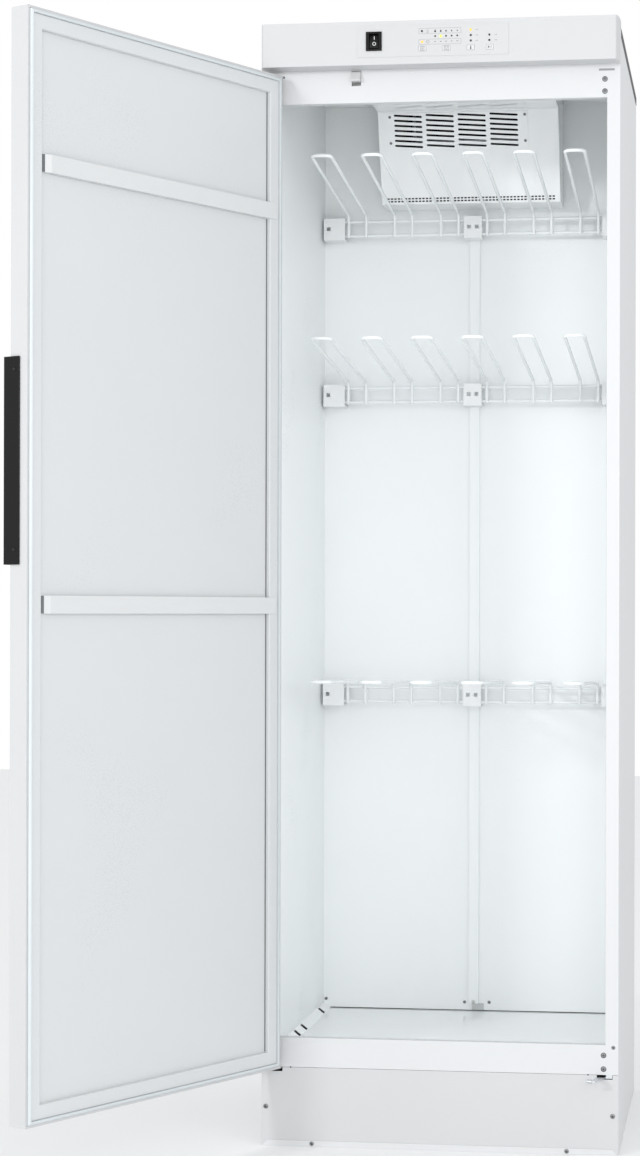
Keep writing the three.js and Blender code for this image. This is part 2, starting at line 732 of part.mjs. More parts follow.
function mainsGland() {
  const nut = bar([glandX, backWall, coverTop], [glandX, backWall, coverTop + glandHeight], glandRadius, 6);
  const bore = bar([glandX, backWall, coverTop - 1], [glandX, backWall, coverTop + glandHeight + 1], 4.5);
  return nut.subtract(bore);
}

function airSystem() {
  add('fan_housing', fanHousing(), enamel);
  add('intake_grille', intakeGrille(), enamel);
  add('blower_impeller', impeller(), black);
  add('fan_motor', fanMotor(), steel);
  add('heater_element', heater(), steel);
  add('exhaust_collar', exhaustCollar(), steel);
  add('mains_gland', mainsGland(), black);
}

// ---- Fascia and controls ----

// Plan of the fascia's front: its ends draw in towards the front on a quarter curve.
function fasciaPlan(inset) {
  const [wide, depth] = [half - inset, fasciaReach - inset];
  const steps = 8;
  const right = Array.from({ length: steps + 1 }, (_, i) => {
    const angle = (Math.PI / 2) * (i / steps);
    return [wide - fasciaTaper * (1 - Math.cos(angle)), front - depth * Math.sin(angle)];
  });
  return [...right, ...mirrorX(right).reverse()];
}

function fascia() {
  const lapBack = front + fasciaLap;
  const lapBottom = coverTop + coverGap;
  const w = fasciaWall;
  const outer = prism('z', fasciaPlan(0), fasciaBottom, fasciaTop)
    .add(block([-half, front - 1, lapBottom], [half, lapBack, fasciaTop]));
  const inner = prism('z', fasciaPlan(w), fasciaBottom + w, fasciaTop - w)
    .add(block([-half + w, front - 2, fasciaBottom + w], [half - w, lapBack - w, fasciaTop - w]));
  return outer.subtract(inner).subtract(join([...keyHoles(keyWidth + 1, keyHeight + 1), switchHole(2)]));
}

function keyHoles(width, height) {
  return keyXs.map((x) => block([x - width / 2, labelFront - 5, keyZ - height / 2],
    [x + width / 2, fasciaFront + fasciaWall + 1, keyZ + height / 2]));
}

function switchHole(margin) {
  const [w, h] = [bezelWidth / 2 - margin, bezelHeight / 2 - margin];
  return block([switchX - w, labelFront - 5, switchZ - h],
    [switchX + w, fasciaFront + fasciaWall + 1, switchZ + h]);
}

function controlLabel() {
  const sheet = block([labelLeft, labelFront, labelBottom], [labelRight, fasciaFront, labelTop]);
  return sheet.subtract(join([...keyHoles(keyWidth + 2 * fit, keyHeight + 2 * fit), switchHole(2)]));
}

function switchHousing() {
  const [w, h] = [bezelWidth / 2, bezelHeight / 2];
  const neck = 2 + fit;
  const bezel = block([switchX - w, labelFront - bezelSheet, switchZ - h],
    [switchX + w, labelFront, switchZ + h]);
  const can = block([switchX - w + neck, labelFront - 1, switchZ - h + neck],
    [switchX + w - neck, front - 10, switchZ + h - neck]);
  const pocket = block(
    [switchX - rockerWidth / 2 - 1, labelFront - 10, switchZ - rockerHeight / 2 - 1],
    [switchX + rockerWidth / 2 + 1, fasciaFront + rockerDepth + 4, switchZ + rockerHeight / 2 + 1]);
  const pivot = bar([switchX - rockerWidth / 2 - 2.2, rockerY(), switchZ],
    [switchX + rockerWidth / 2 + 2.2, rockerY(), switchZ], 1.7, 10);
  return bezel.add(can).subtract(pocket).subtract(pivot);
}

function rockerY() {
  return labelFront - bezelSheet + 4;
}

// Two flats that meet at the middle. It rests switched on, with its upper half pressed.
function rocker() {
  const [h, proud] = [rockerHeight / 2, 3];
  const lean = h * Math.tan(THREE.MathUtils.degToRad(rockerTilt));
  const back = rockerDepth - 1;
  const outline = [[-proud, 0], [-proud + lean, h], [2.5, h - 1], [back, 3], [back, -3], [2.5, -h + 1],
    [-proud + lean, -h]];
  const key = prism('x', outline, switchX - rockerWidth / 2, switchX + rockerWidth / 2);
  const pin = bar([switchX - rockerWidth / 2 - 1.9, 0, 0], [switchX + rockerWidth / 2 + 1.9, 0, 0], 1.3, 8);
  return key.add(pin).rotate([-rockerTilt, 0, 0]).translate([0, rockerY(), switchZ]);
}

function keyCap(x) {
  const [w, h] = [keyWidth / 2, keyHeight / 2];
  const wallBack = fasciaFront + fasciaWall;
  const cap = block([x - w, labelFront - keyProud, keyZ - h], [x + w, wallBack + 2, keyZ + h]);
  const collar = block([x - w - 1.5, wallBack + fit, keyZ - h - 1.5],
    [x + w + 1.5, wallBack + 1.2, keyZ + h + 1.5]);
  return cap.add(collar);
}

// The board stands on two posts behind the fascia, with one push switch behind each key.
function controlBoard() {
  const wallBack = fasciaFront + fasciaWall;
  const [y0, y1] = [wallBack + 8, wallBack + 9.6];
  const [z0, z1] = [keyZ - 9, labelTop - 1];
  const [x0, x1] = [keyXs[0] - 14, keyXs.at(-1) + 14];
  const plate = block([x0, y0, z0], [x1, y1, z1]);
  const posts = [x0 + 4, x1 - 4].map((x) => bar([x, wallBack, z1 - 4], [x, y1, z1 - 4], 3, 8));
  const pushFront = wallBack + 2 + keyTravel + fit;
  const pushes = keyXs.map((x) => block([x - 3, pushFront, keyZ - 3], [x + 3, y1, keyZ + 3]));
  return join([plate, ...posts, ...pushes]);
}

function controls() {
  add('fascia', fascia(), white);
  add('control_label', controlLabel(), plastic);
  add('switch_housing', switchHousing(), black);
  add('power_rocker', rocker(), black);
  keyXs.forEach((x, i) => add(`control_key_${i + 1}`, keyCap(x), plastic));
  add('control_board', controlBoard(), board);
}

// ---- Door switch in the header ----

function doorSwitch() {
  const [x0, x1] = [leverX - leverWidth / 2, leverX + leverWidth / 2];
  const pivotY = front + leverPivotInset;
  const profile = [[-1.5, 2.2], [1.5, 2.2], [2, -2], [1.5, -12], [-3, -15.5], [-14, -15], [-15, -13.5],
    [-5, 2.2]];
  const wedge = prism('x', profile.map(([y, z]) => [pivotY + y, leverPivotZ + z]), x0, x1);
  const pin = bar([x0 - 2.2, pivotY, leverPivotZ], [x1 + 2.2, pivotY, leverPivotZ], 1.2, 8);
  const inner = front + skin;
  const [low, high] = [leverPivotZ - leverRoomBelow, leverPivotZ + leverRoomAbove];
  const outer = block([x0 - 4, inner, low - skin], [x1 + 4, frameBack - skin, high + 3 * skin]);
  const pocket = block([x0 - 1, inner - 1, low], [x1 + 1, frameBack - 2 * skin, high]);
  const bearings = bar([x0 - 2.6, pivotY, leverPivotZ], [x1 + 2.6, pivotY, leverPivotZ], 1.6, 12);
  add('door_switch_housing', outer.subtract(pocket).subtract(bearings), plastic);
  add('door_switch_lever', wedge.add(pin), plastic);
}

// ---- Door: drawn shut, then turned open with its group ----

const doorLeft = -(half - doorInset);
const doorRight = half - doorInset;
const doorOuter = fasciaFront;
const doorInner = front - doorGap;

// A box inset from the door's outline by the same margin on all four sides.
function doorBlock(margin, y0, y1) {
  return block([doorLeft + margin, y0, doorBottom + margin], [doorRight - margin, y1, doorTop - margin]);
}

function doorShell() {
  const hollow = doorBlock(doorSheet, doorOuter + doorSheet, doorInner - doorSheet);
  const mouth = doorBlock(shellReturn, doorInner - doorSheet - 1, doorInner + 1);
  const bores = [[doorBottom - 5, doorBottom + 5], [doorTop - 5, doorTop + 5]].map(([z0, z1]) =>
    bar([hingeX, hingeY, z0], [hingeX, hingeY, z1], pinRadius + 0.5, 16));
  return doorBlock(0, doorOuter, doorInner).subtract(hollow).subtract(mouth).subtract(join(bores));
}

// A pan whose border lies level with the shell's return, with the gasket's groove round it.
function doorPan() {
  const grooveFloor = doorInner - gasketDepth;
  const recessFloor = doorInner - recessDepth;
  const panBack = recessFloor - skin;
  const rim = doorSheet + fit;
  const border = shellReturn + grooveWidth;
  const well = border + doorBorder;
  const flange = doorBlock(rim, grooveFloor - skin - fit, grooveFloor - fit);
  const raised = doorBlock(border, panBack, doorInner);
  const recess = doorBlock(well, recessFloor, doorInner + 1);
  const behindRim = doorBlock(border + skin, panBack - 5, doorInner - skin);
  const core = doorBlock(well - skin, panBack - 6, doorInner + 1);
  return flange.add(raised).subtract(recess).subtract(behindRim.subtract(core));
}

// Its lip slopes down towards the door's edge, so that it clears the frame as the door swings in.
function gasket() {
  const outer = shellReturn + (grooveWidth - gasketWidth) / 2;
  const [root, tip] = [doorInner - gasketDepth, front - gasketShort];
  const land = gasketWidth - gasketLand;
  const section = (low, high) => [[low, root], [high, root], [high, tip - gasketBevel], [high - land, tip],
    [low + land, tip], [low, tip - gasketBevel]];
  const across = section(doorLeft + outer, doorRight - outer);
  const upright = section(doorBottom + outer, doorTop - outer).map(([z, y]) => [y, z]);
  const lip = prism('z', across, doorBottom + outer, doorTop - outer)
    .intersect(prism('x', upright, doorLeft, doorRight));
  return lip.subtract(doorBlock(outer + gasketWidth, doorOuter, front));
}

// A hollow bar across the recess: a ramp at the free edge, and a flat end that laps over the border at the
// hinge.
function doorBar(z0) {
  const well = shellReturn + grooveWidth + doorBorder;
  const seat = doorInner - recessDepth + fit;
  const face = doorInner + barProud;
  const [free, hinge] = [doorRight - well - fit, doorLeft + well + fit];
  const end = hinge - doorBorder * 0.75;
  const outline = [[free, seat], [free - barRamp, face], [end, face], [end, face - barSheet],
    [hinge, face - barSheet], [hinge, seat]];
  const inside = face - barSheet;
  const channel = [[free - 4, seat - 1], [free - barRamp, inside], [hinge + barSheet, inside],
    [hinge + barSheet, seat - 1]];
  return prism('z', outline, z0, z0 + barHeight)
    .subtract(prism('z', channel, z0 + barSheet, z0 + barHeight - barSheet));
}

// A pull in one folded profile: a plate on the door's edge, and a lip in front of the door's outer face.
function handle() {
  const [x0, x1] = [doorRight + fit, doorRight + fit + handleSheet];
  const lipFront = doorOuter - handleProud;
  const outline = [[x1, doorOuter + handleLap], [x0, doorOuter + handleLap], [x0, lipFront + handleSheet],
    [doorRight - handleLip, lipFront + handleSheet], [doorRight - handleLip, lipFront], [x1 - 2, lipFront],
    [x1, lipFront + 2]];
  return prism('z', outline, handleBottom, handleTop);
}

// A tab under the door's lower edge, which the catch roller meets.
function doorStrike() {
  const { x, y, z } = rollerAxle();
  return block([x - 9, y - 3, z + rollerRadius + fit], [x + 9, y + 7, doorBottom - fit]);
}

function doorPieces() {
  add('door_outer_shell', doorShell(), white, door);
  add('door_inner_pan', doorPan(), white, door);
  add('door_gasket', gasket(), rubber, door);
  barBottoms.forEach((z, i) => add(`door_bar_${barNames[i]}`, doorBar(z), white, door));
  add('door_handle', handle(), black, door);
  add('door_strike', doorStrike(), plastic, door);
}

// ---- Hinge plates and catch ----

// The leg that holds a plate, behind the jamb.
function plateLeg(side, z0, z1) {
  const xs = [side * (half - slotInset - 0.5), side * (half - slotInset - 11)];
  return block([Math.min(...xs), front + skin, z0], [Math.max(...xs), front + skin + plateSheet, z1]);
}

function hingePlan() {
  const outer = -(half - slotInset - 0.5);
  const inner = -(half - slotInset - slotWidth + 2);
  const steps = 6;
  const round = Array.from({ length: steps + 1 }, (_, i) => {
    const angle = Math.PI + (Math.PI * i) / steps;
    return [hingeX + 9 * Math.cos(angle), hingeY + 9 * Math.sin(angle)];
  });
  return [...round, [inner, front], [inner, front + 5], [outer, front + 5], [outer, front]];
}

function lowerHinge() {
  const top = lowerPlateZ + plateSheet;
  const plate = prism('z', hingePlan(), lowerPlateZ, top);
  const pin = bar([hingeX, hingeY, top - 1], [hingeX, hingeY, top + pinLength], pinRadius, 12);
  const washer = bar([hingeX, hingeY, top - 1], [hingeX, hingeY, doorBottom - fit], 7, 16);
  return join([plate, pin, washer, plateLeg(-1, lowerPlateZ, lowerPlateZ + legHeight)]);
}

function upperHinge() {
  const plate = prism('z', hingePlan(), upperPlateZ, upperPlateZ + plateSheet);
  const pin = bar([hingeX, hingeY, upperPlateZ - pinLength], [hingeX, hingeY, upperPlateZ + 1],
    pinRadius, 12);
  return join([plate, pin, plateLeg(-1, upperPlateZ - legHeight, upperPlateZ + plateSheet)]);
}

function rollerAxle() {
  return { x: half - catchInset, y: front - catchReach, z: catchPlateZ + plateSheet / 2 };
}

function catchPlate() {
  const { x, y, z } = rollerAxle();
  const root = half - slotInset - 0.5;
  const inner = root - slotWidth + 2;
  const outline = [[root, front + 5], [root, front], [root - 11, front], [x + 9, y - 3], [x + 5, y - 3],
    [x + 5, y + 4], [inner, front], [inner, front + 5]];
  const plate = prism('z', outline, catchPlateZ, catchPlateZ + plateSheet);
  const axle = bar([x + 6, y, z], [x - rollerLength / 2 - 1, y, z], 1.1, 8);
  return join([plate, axle, plateLeg(1, catchPlateZ, catchPlateZ + legHeight)]);
}

function catchRoller() {
  const { x, y, z } = rollerAxle();
  const ends = [[x - rollerLength / 2, y, z], [x + rollerLength / 2, y, z]];
  const tyre = bar(...ends, rollerRadius, 16);
  return tyre.subtract(bar([x - rollerLength, y, z], [x + rollerLength, y, z], 1.6, 10));
}

function fittings() {
  add('hinge_plate_lower', lowerHinge(), white);
  add('hinge_plate_upper', upperHinge(), white);
  add('catch_plate', catchPlate(), steel);
  add('catch_roller', catchRoller(), steel);
}

bodyPanels();
doorFrame();
chamber();
racks();
airSystem();
controls();
doorSwitch();
doorPieces();
fittings();

export default cabinet;
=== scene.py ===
"""Looks of a free-standing drying cabinet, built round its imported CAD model.

Lengths are in millimetres until a mesh is made, apart from those of the lights and the camera's place and
range, which are in metres.
"""
import json
import math

import bmesh
import bpy
from mathutils import Matrix, Vector


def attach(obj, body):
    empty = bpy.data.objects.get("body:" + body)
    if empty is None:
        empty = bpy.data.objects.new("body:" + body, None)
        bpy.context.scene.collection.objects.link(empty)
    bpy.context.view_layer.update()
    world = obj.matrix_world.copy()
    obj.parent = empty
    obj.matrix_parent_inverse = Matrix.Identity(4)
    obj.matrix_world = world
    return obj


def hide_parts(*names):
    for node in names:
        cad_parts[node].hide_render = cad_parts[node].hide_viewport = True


MM = 0.001
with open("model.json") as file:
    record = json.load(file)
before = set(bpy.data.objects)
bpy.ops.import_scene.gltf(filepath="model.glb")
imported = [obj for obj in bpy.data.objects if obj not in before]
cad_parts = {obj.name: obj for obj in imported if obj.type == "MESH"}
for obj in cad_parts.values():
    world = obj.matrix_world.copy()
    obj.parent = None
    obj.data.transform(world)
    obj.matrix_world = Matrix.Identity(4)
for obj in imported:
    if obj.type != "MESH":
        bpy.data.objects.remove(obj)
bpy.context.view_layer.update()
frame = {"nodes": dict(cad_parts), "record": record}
record = frame["record"]
slot_of = {part["node"]: part["material_slot"] for part in record["subparts"]}
body_of = {node: body for body, nodes in record["behaviour"]["bodies"].items() for node in nodes}

# ---- Sizes shared with the CAD model ----

FRONT = -283.0
REAR = 283.0
LABEL_FRONT = -321.8
BACK_WALL = 245.0
HALF_WIDTH = 297.5
DOORWAY_HALF = 275.6
SILL_TOP = 181.0
HEADER_LOW = 1736.0
COVER_FRONT = -264.0
COVER_TOP = 1851.0

HINGE = Vector((-284.0, -306.0, 0.0))
OPEN_ANGLE = math.radians(118)
DOOR_X = (-296.5, 296.5)
DOOR_Z = (133.0, 1779.0)
DOOR_INNER = -287.5
DOOR_WELL = 31.0  # from the door's outline to its recess
WELL_DEPTH = 8.0
GASKET_GROOVE = (3.0, 10.5)  # from the door's outline
GROOVE_DEPTH = 1.0  # at least this far below the door's inner face
BAR_LOWS = (887.0, 1539.0)
BAR_HEIGHT = 27.0
BAR_FOOT = 265.2  # where a bar's end ramp meets the recess
BAR_SLOPE = 0.494
HANDLE_Z = (959.0, 1265.0)
HANDLE_BACK = -301.0

RACKS = {"lower": (750, 21), "middle": (1307, 49), "upper": (1617, 50)}  # upper rod's height, loops' rise
ROD_Y = 209.0
ROD_HALF = 272.6
ROD_SPACING = 26.0
WIRE = 2.95
LOOPS = 3  # on each half of a rack
LOOP_PITCH = 86.4
LOOP_WIDTH = 33.0
LOOP_REACH = 403.0
LOOP_STAND_OFF = 5.2  # in front of the rods
LOOP_STAND = 10.0  # above the upper rod, before it turns forward
LOOP_TAIL = 2.4  # below the lower rod
LOOP_BENDS = (14, 11, 11, 14)

HOUSING_CORE = Vector((0, 180, 1815))
GRILLE_TOP = Vector((0, BACK_WALL - 134, 1801))
GRILLE_DOWN = Vector((0, 61, -159)).normalized()
GRILLE_OUT = Vector((0, -159, -61)).normalized()

KEY_XS = (-25.3, 14.7, 54.6, 85.9)
KEY_Z = 1815.0
KEY_RISE = 0.3
ROCKER_FACE = -322.78
ROCKER_CREST = 1829.07
ROCKER_LEAN = 0.2493

# ---- Small things that are in the scene only ----

SLOT_PLATE_BOX = ((259, FRONT + 1.1, 1775), (290, FRONT + 2.1, 1788))
# Painted shade: a grey block in the notch at the foot of the centre rail
RAIL_NOTCH_SHADE_BOX = ((-3, BACK_WALL - 1.6, 148), (19, BACK_WALL - 0.1, 160.2))
# Painted shade: a near-black sheet on the back wall inside the blower's housing
HOUSING_SHADE_BOX = ((-163.5, BACK_WALL - 1.8, 1644), (163.5, BACK_WALL - 0.05, 1836))
LIP_DEPTH = 14.0
LIP_IN, LIP_OUT = 0.1, 0.6

WELD_BACK = 2.6  # from the rod's middle towards the loop
WELD = ((-3.4, 0), (-3.0, 0.9), (0, 1.5), (3.0, 0.9), (3.4, 0))
WELD_SIDES = 8

# Painted shade: a dark grey strip across the foot of each bar's end ramp
BAR_SHADE = (3.6, 8.4)  # up the ramp, from its foot
BAR_SHADE_FOOT = 7.7  # ramp's foot, in from the door's inner face
BAR_SHADE_SUNK, BAR_SHADE_PROUD = 0.2, 0.12
BAR_SHADE_MARGIN = 0.3  # to the bar's long edges

# Painted shade along the foot of the door's recess: dark grey by the hinge, pale grey at the top
SHADE_LINE_SUNK = 0.1
SHADE_LINE_WIDTH, SHADE_LINE_DEPTH = 0.9, 1.5
TOP_SHADE_LINE_WIDTH, TOP_SHADE_LINE_DEPTH = 0.5, 0.9
SHADE_LINE_END = 1.0
BAR_MARGIN = 0.5

FLUSH = 0.3  # rise of a countersunk head
FRAME_HEAD, JAMB_HEAD, PLINTH_HEAD, TRAY_HEAD, BACK_HEAD, SMALL_HEAD = 3.5, 3.4, 3.9, 3.6, 3.0, 2.6
FRAME_SCREWS = ((272, 1766), (272, 1746), (273, 164), (273, 141.5))
# Painted shade: a black ring round each countersunk frame screw
FRAME_SHADE_RING, FRAME_SHADE_RING_LINE = 4.6, 1.0
JAMB_SCREW = (289, FRONT, 177)
PLINTH_SCREWS = ((-290, 65.6), (288, 64.5))
TRAY_SCREW_XS = (-212, 212.7)
TRAY_SCREW_Z = 5.4
TRAY_LIP = 1.0  # the tray's lip stands this far in front of the plinth
BACK_SCREWS = ((-17, 162), (29, 162.5), (-279, 163))
SEAM_DOT_XS = (-248, 247.6)
SEAM_DOT = 1.3
SEAM_Z = 131.7
GRILLE_SCREW_XS = (-142.7, 104)
GRILLE_SCREW_FALLS = (9.5, 57)
GRILLE_RISE = 1.3
HANDLE_SCREW_X, HANDLE_SCREW_Y = 299.4, -311
HANDLE_SCREW_ZS = (1246, 981)

# ---- Widths of broken edges ----

SHEET_EDGE = 0.3
FITTING_EDGE = 0.35
THIN_EDGE = 0.25
MOULDED_EDGE = 0.5
SOFT_EDGE = 0.6
FASCIA_EDGE = 1.1
GASKET_EDGE = 1.0
FOLD_EDGE = 0.9
NOTCH_SHADE_EDGE = 0.4
HOUSING_EDGE = 1.0
WELL_EDGE = 2.2
HANDLE_EDGE = 0.7
HANDLE_ROUND = 5.5

# ---- Tolerances ----

WELD_DISTANCE = 1e-3
FLAT_ANGLE = math.radians(1)
SMALL_SHARE = 0.1  # a face this much smaller doesn't bend its neighbour's shading
ON_PLANE = 0.02
NEAR = 0.05
LONG_FOLD = 60  # shortest edge of the housing's folds
LARGE_FACE = 400  # smallest inner face of the housing that takes the painted shade, in square millimetres


# ---- Materials ----

NOISE_LOW, NOISE_HIGH = 0.3, 0.7  # where most of a noise texture's values lie
SLOW_SCALE, SLOW_DETAIL = 4.0, 3.0
FINE_DETAIL, FINE_ROUGHNESS = 2.0, 0.45
WAVE_DETAIL = 1.0


def noise(tree, coords, scale, detail, rough=0.5):
    texture = tree.nodes.new("ShaderNodeTexNoise")
    texture.inputs["Scale"].default_value = scale
    texture.inputs["Detail"].default_value = detail
    texture.inputs["Roughness"].default_value = rough
    tree.links.new(coords, texture.inputs["Vector"])
    return texture.outputs["Fac"]


def ranged(tree, value, low, high):
    spread = tree.nodes.new("ShaderNodeMapRange")
    spread.inputs["From Min"].default_value = NOISE_LOW
    spread.inputs["From Max"].default_value = NOISE_HIGH
    spread.inputs["To Min"].default_value = low
    spread.inputs["To Max"].default_value = high
    tree.links.new(value, spread.inputs["Value"])
    return spread.outputs["Result"]


def mixed(tree, factor, first, second):
    mix = tree.nodes.new("ShaderNodeMix")
    mix.data_type = "RGBA"
    mix.inputs["A"].default_value = (*first, 1)
    mix.inputs["B"].default_value = (*second, 1)
    tree.links.new(factor, mix.inputs["Factor"])
    return mix.outputs["Result"]


def added(tree, first, second):
    total = tree.nodes.new("ShaderNodeMath")
    total.operation = "ADD"
    tree.links.new(first, total.inputs[0])
    tree.links.new(second, total.inputs[1])
    return total.outputs["Value"]


def bumped(tree, height, depth, normal):
    """A bump of the given depth, on top of the one before it."""
    bump = tree.nodes.new("ShaderNodeBump")
    bump.inputs["Strength"].default_value = 1.0
    bump.inputs["Distance"].default_value = depth * MM
    tree.links.new(height, bump.inputs["Height"])
    if normal is not None:
        tree.links.new(normal, bump.inputs["Normal"])
    return bump.outputs["Normal"]


def finish(name, color, rough, *, tone=0.03, gloss=0.04, peel=0.0, peel_size=2.0, wave=0.0, wave_size=180.0,
           metal=0.0, specular=0.5):
    """A coated, moulded or plated surface: uneven tone and gloss, fine grain, and the slow waves of sheet."""
    material = bpy.data.materials.new(name)
    material.use_nodes = True
    tree = material.node_tree
    shader = tree.nodes["Principled BSDF"]
    shader.inputs["Metallic"].default_value = metal
    shader.inputs["Specular IOR Level"].default_value = specular
    coords = tree.nodes.new("ShaderNodeTexCoord").outputs["Object"]
    slow = noise(tree, coords, SLOW_SCALE, SLOW_DETAIL)
    fine = noise(tree, coords, 1 / MM / peel_size, FINE_DETAIL, FINE_ROUGHNESS)
    darker = tuple(c * (1 - tone) for c in color)
    tree.links.new(mixed(tree, ranged(tree, slow, 0.0, 1.0), darker, color), shader.inputs["Base Color"])
    slow_gloss = ranged(tree, slow, rough - gloss / 2, rough + gloss / 2)
    fine_gloss = ranged(tree, fine, -gloss / 2, gloss / 2)
    tree.links.new(added(tree, slow_gloss, fine_gloss), shader.inputs["Roughness"])
    normal = None
    if wave:
        normal = bumped(tree, noise(tree, coords, 1 / MM / wave_size, WAVE_DETAIL), wave, normal)
    if peel:
        normal = bumped(tree, fine, peel, normal)
    if normal is not None:
        tree.links.new(normal, shader.inputs["Normal"])
    return material


def glowing(name, color, strength):
    material = finish(name, color, 0.25)
    shader = material.node_tree.nodes["Principled BSDF"]
    shader.inputs["Emission Color"].default_value = (*color, 1)
    shader.inputs["Emission Strength"].default_value = strength
    return material


MATERIALS = {
    "white_paint": finish("powder_coat_white", (0.625, 0.632, 0.64), 0.38, tone=0.015, peel=0.02,
                          peel_size=1.6, wave=0.25, wave_size=260),
    "chamber_enamel": finish("chamber_enamel", (0.90, 0.925, 0.93), 0.3, tone=0.02, peel=0.006,
                             peel_size=2.2, wave=0.3, wave_size=260, specular=0.3),
    "black_paint": finish("cover_black", (0.02, 0.02, 0.022), 0.55, peel=0.02),
    "wire_enamel": finish("wire_enamel", (0.88, 0.9, 0.91), 0.25, tone=0.02, peel=0.01, peel_size=1.2),
    "zinc_steel": finish("zinc_plate", (0.62, 0.64, 0.66), 0.34, tone=0.12, gloss=0.12, peel=0.01,
                         metal=1.0),
    "white_plastic": finish("moulded_white", (0.61, 0.615, 0.615), 0.42, tone=0.015, peel=0.015,
                            peel_size=0.7),
    "black_plastic": finish("moulded_black", (0.008, 0.008, 0.0085), 0.42, tone=0.2, gloss=0.1, peel=0.03,
                            peel_size=0.6, specular=0.16),
    "circuit_board": finish("board_green", (0.03, 0.16, 0.07), 0.35, tone=0.2),
    "seal_rubber": finish("gasket_grey", (0.62, 0.66, 0.68), 0.6, tone=0.06, peel=0.02, peel_size=1.0),
}
DOOR_PAN = finish("door_pan_enamel", (0.625, 0.64, 0.647), 0.28, tone=0.015, gloss=0.01, wave=0.2,
                  wave_size=300)
BAR_FACE = finish("door_bar_enamel", (0.65, 0.66, 0.665), 0.3, tone=0.015, peel=0.002)
# Painted shade: the body's white paint made darker for the door's shell
DOOR_SHELL_SHADED = finish("door_shell_white_painted_shade", (0.55, 0.556, 0.562), 0.38, tone=0.015, peel=0.02, peel_size=1.6,
                    wave=0.25, wave_size=260)
# Painted shade: the body's white paint made darker for the plinth, for the dimmer light at the cabinet's foot
PLINTH_SHADED = finish("plinth_white_painted_shade", (0.555, 0.56, 0.567), 0.38, tone=0.015, peel=0.02, peel_size=1.6,
                wave=0.25, wave_size=260)
FASCIA = finish("fascia_white", (0.55, 0.555, 0.562), 0.36, tone=0.015, peel=0.012, peel_size=1.2,
                wave=0.15, wave_size=260)
LABEL = finish("label_film", (0.545, 0.55, 0.555), 0.33, tone=0.01, peel=0.006, peel_size=0.5)
# Painted light: the chamber's enamel made lighter for the housing, the ceiling and the grille, at the dimmer
# top of the chamber
HOUSING_LIT = finish("housing_enamel_painted_light", (0.95, 0.965, 0.97), 0.07, tone=0.015, gloss=0.02, peel=0.002,
                 peel_size=2.2, wave=0.05, wave_size=260)
FLOOR_ENAMEL = finish("floor_enamel", (0.93, 0.95, 0.955), 0.12, tone=0.015, gloss=0.03, peel=0.004,
                      peel_size=2.2, wave=0.08, wave_size=260)
BRACKET = finish("bracket_plastic", (0.86, 0.87, 0.875), 0.36, tone=0.02, peel=0.01, peel_size=0.8)
# Painted shade: near-black for the inside of the blower's housing
HOUSING_SHADE = finish("housing_inner_painted_shade", (0.03, 0.03, 0.033), 0.9, tone=0.4, peel=0.25, peel_size=1.4, specular=0.1)
# Painted shade: dark grey for the gasket's groove, the foot of the door's recess and the bars' ends
DARK_SHADE_PAINT = finish("painted_shade_dark_grey", (0.16, 0.17, 0.18), 0.7, tone=0.2, peel=0.02)
INK = finish("print_black", (0.02, 0.02, 0.022), 0.5, tone=0.1)
INK_GREY = finish("print_grey", (0.16, 0.165, 0.17), 0.5, tone=0.05)
INK_PALE = finish("print_pale_grey", (0.34, 0.345, 0.35), 0.5, tone=0.04)
INK_WHITE = finish("print_white", (0.85, 0.85, 0.85), 0.5, tone=0.02)
LED_DARK = finish("led_unlit", (0.03, 0.03, 0.032), 0.25, tone=0.1)
LED_AMBER = glowing("led_amber", (1.0, 0.40, 0.02), 0.72)
LED_GREEN = glowing("led_green", (0.62, 0.85, 0.05), 0.8)
SCREW_STEEL = finish("screw_steel", (0.24, 0.245, 0.25), 0.34, tone=0.2, gloss=0.1, metal=0.9)
# Painted shade: pale grey for the rail's notch and the top of the door's recess
PALE_SHADE_PAINT = finish("painted_shade_pale_grey", (0.56, 0.58, 0.58), 0.4, tone=0.05, peel=0.01)
SCREW_BLACK = finish("screw_blackened", (0.05, 0.05, 0.055), 0.22, tone=0.2, gloss=0.1, metal=1.0)
SLOT_PLATE = finish("slot_plate_zinc", (0.30, 0.31, 0.32), 0.45, tone=0.1, gloss=0.1, peel=0.01, metal=0.6)
SHADOW = finish("recess_dark", (0.02, 0.02, 0.02), 0.7, tone=0.1)


# ---- Mesh helpers ----

WIRE_DOME = ((0.75, 0.45), (0.35, 0.62))  # each step's radius and rise, for a wire's radius of 1


def place(mesh_object, body, replaced=()):
    if replaced:
        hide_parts(*replaced)
    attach(mesh_object, body)


def from_bmesh(name, bm, material, smooth=35):
    bmesh.ops.scale(bm, vec=(MM,) * 3, verts=bm.verts)
    bmesh.ops.recalc_face_normals(bm, faces=bm.faces)
    mesh = bpy.data.meshes.new(name)
    bm.to_mesh(mesh)
    bm.free()
    made = bpy.data.objects.new(name, mesh)
    bpy.context.scene.collection.objects.link(made)
    mesh.materials.append(material)
    shade(made, smooth)
    return made


def is_soft(edge, angle):
    """Whether an edge is a slight turn between two faces, not a flat joint and not a sharp corner."""
    return FLAT_ANGLE < edge.calc_face_angle(0) < math.radians(angle)


def shade(made, angle):
    """Smooth shading that keeps sharp edges, and keeps a large flat even where a small fillet meets it."""
    mesh = made.data
    bm = bmesh.new()
    bm.from_mesh(mesh)
    areas = [face.calc_area() for face in bm.faces]
    bm.faces.index_update()
    for face in bm.faces:
        beside = [areas[other.index] for edge in face.edges if is_soft(edge, angle)
                  for other in edge.link_faces if other is not face]
        face.smooth = any(size > SMALL_SHARE * areas[face.index] for size in beside)
    for edge in bm.edges:
        edge.smooth = len(edge.link_faces) == 2 and edge.calc_face_angle(0) < math.radians(angle)
    bm.to_mesh(mesh)
    bm.free()


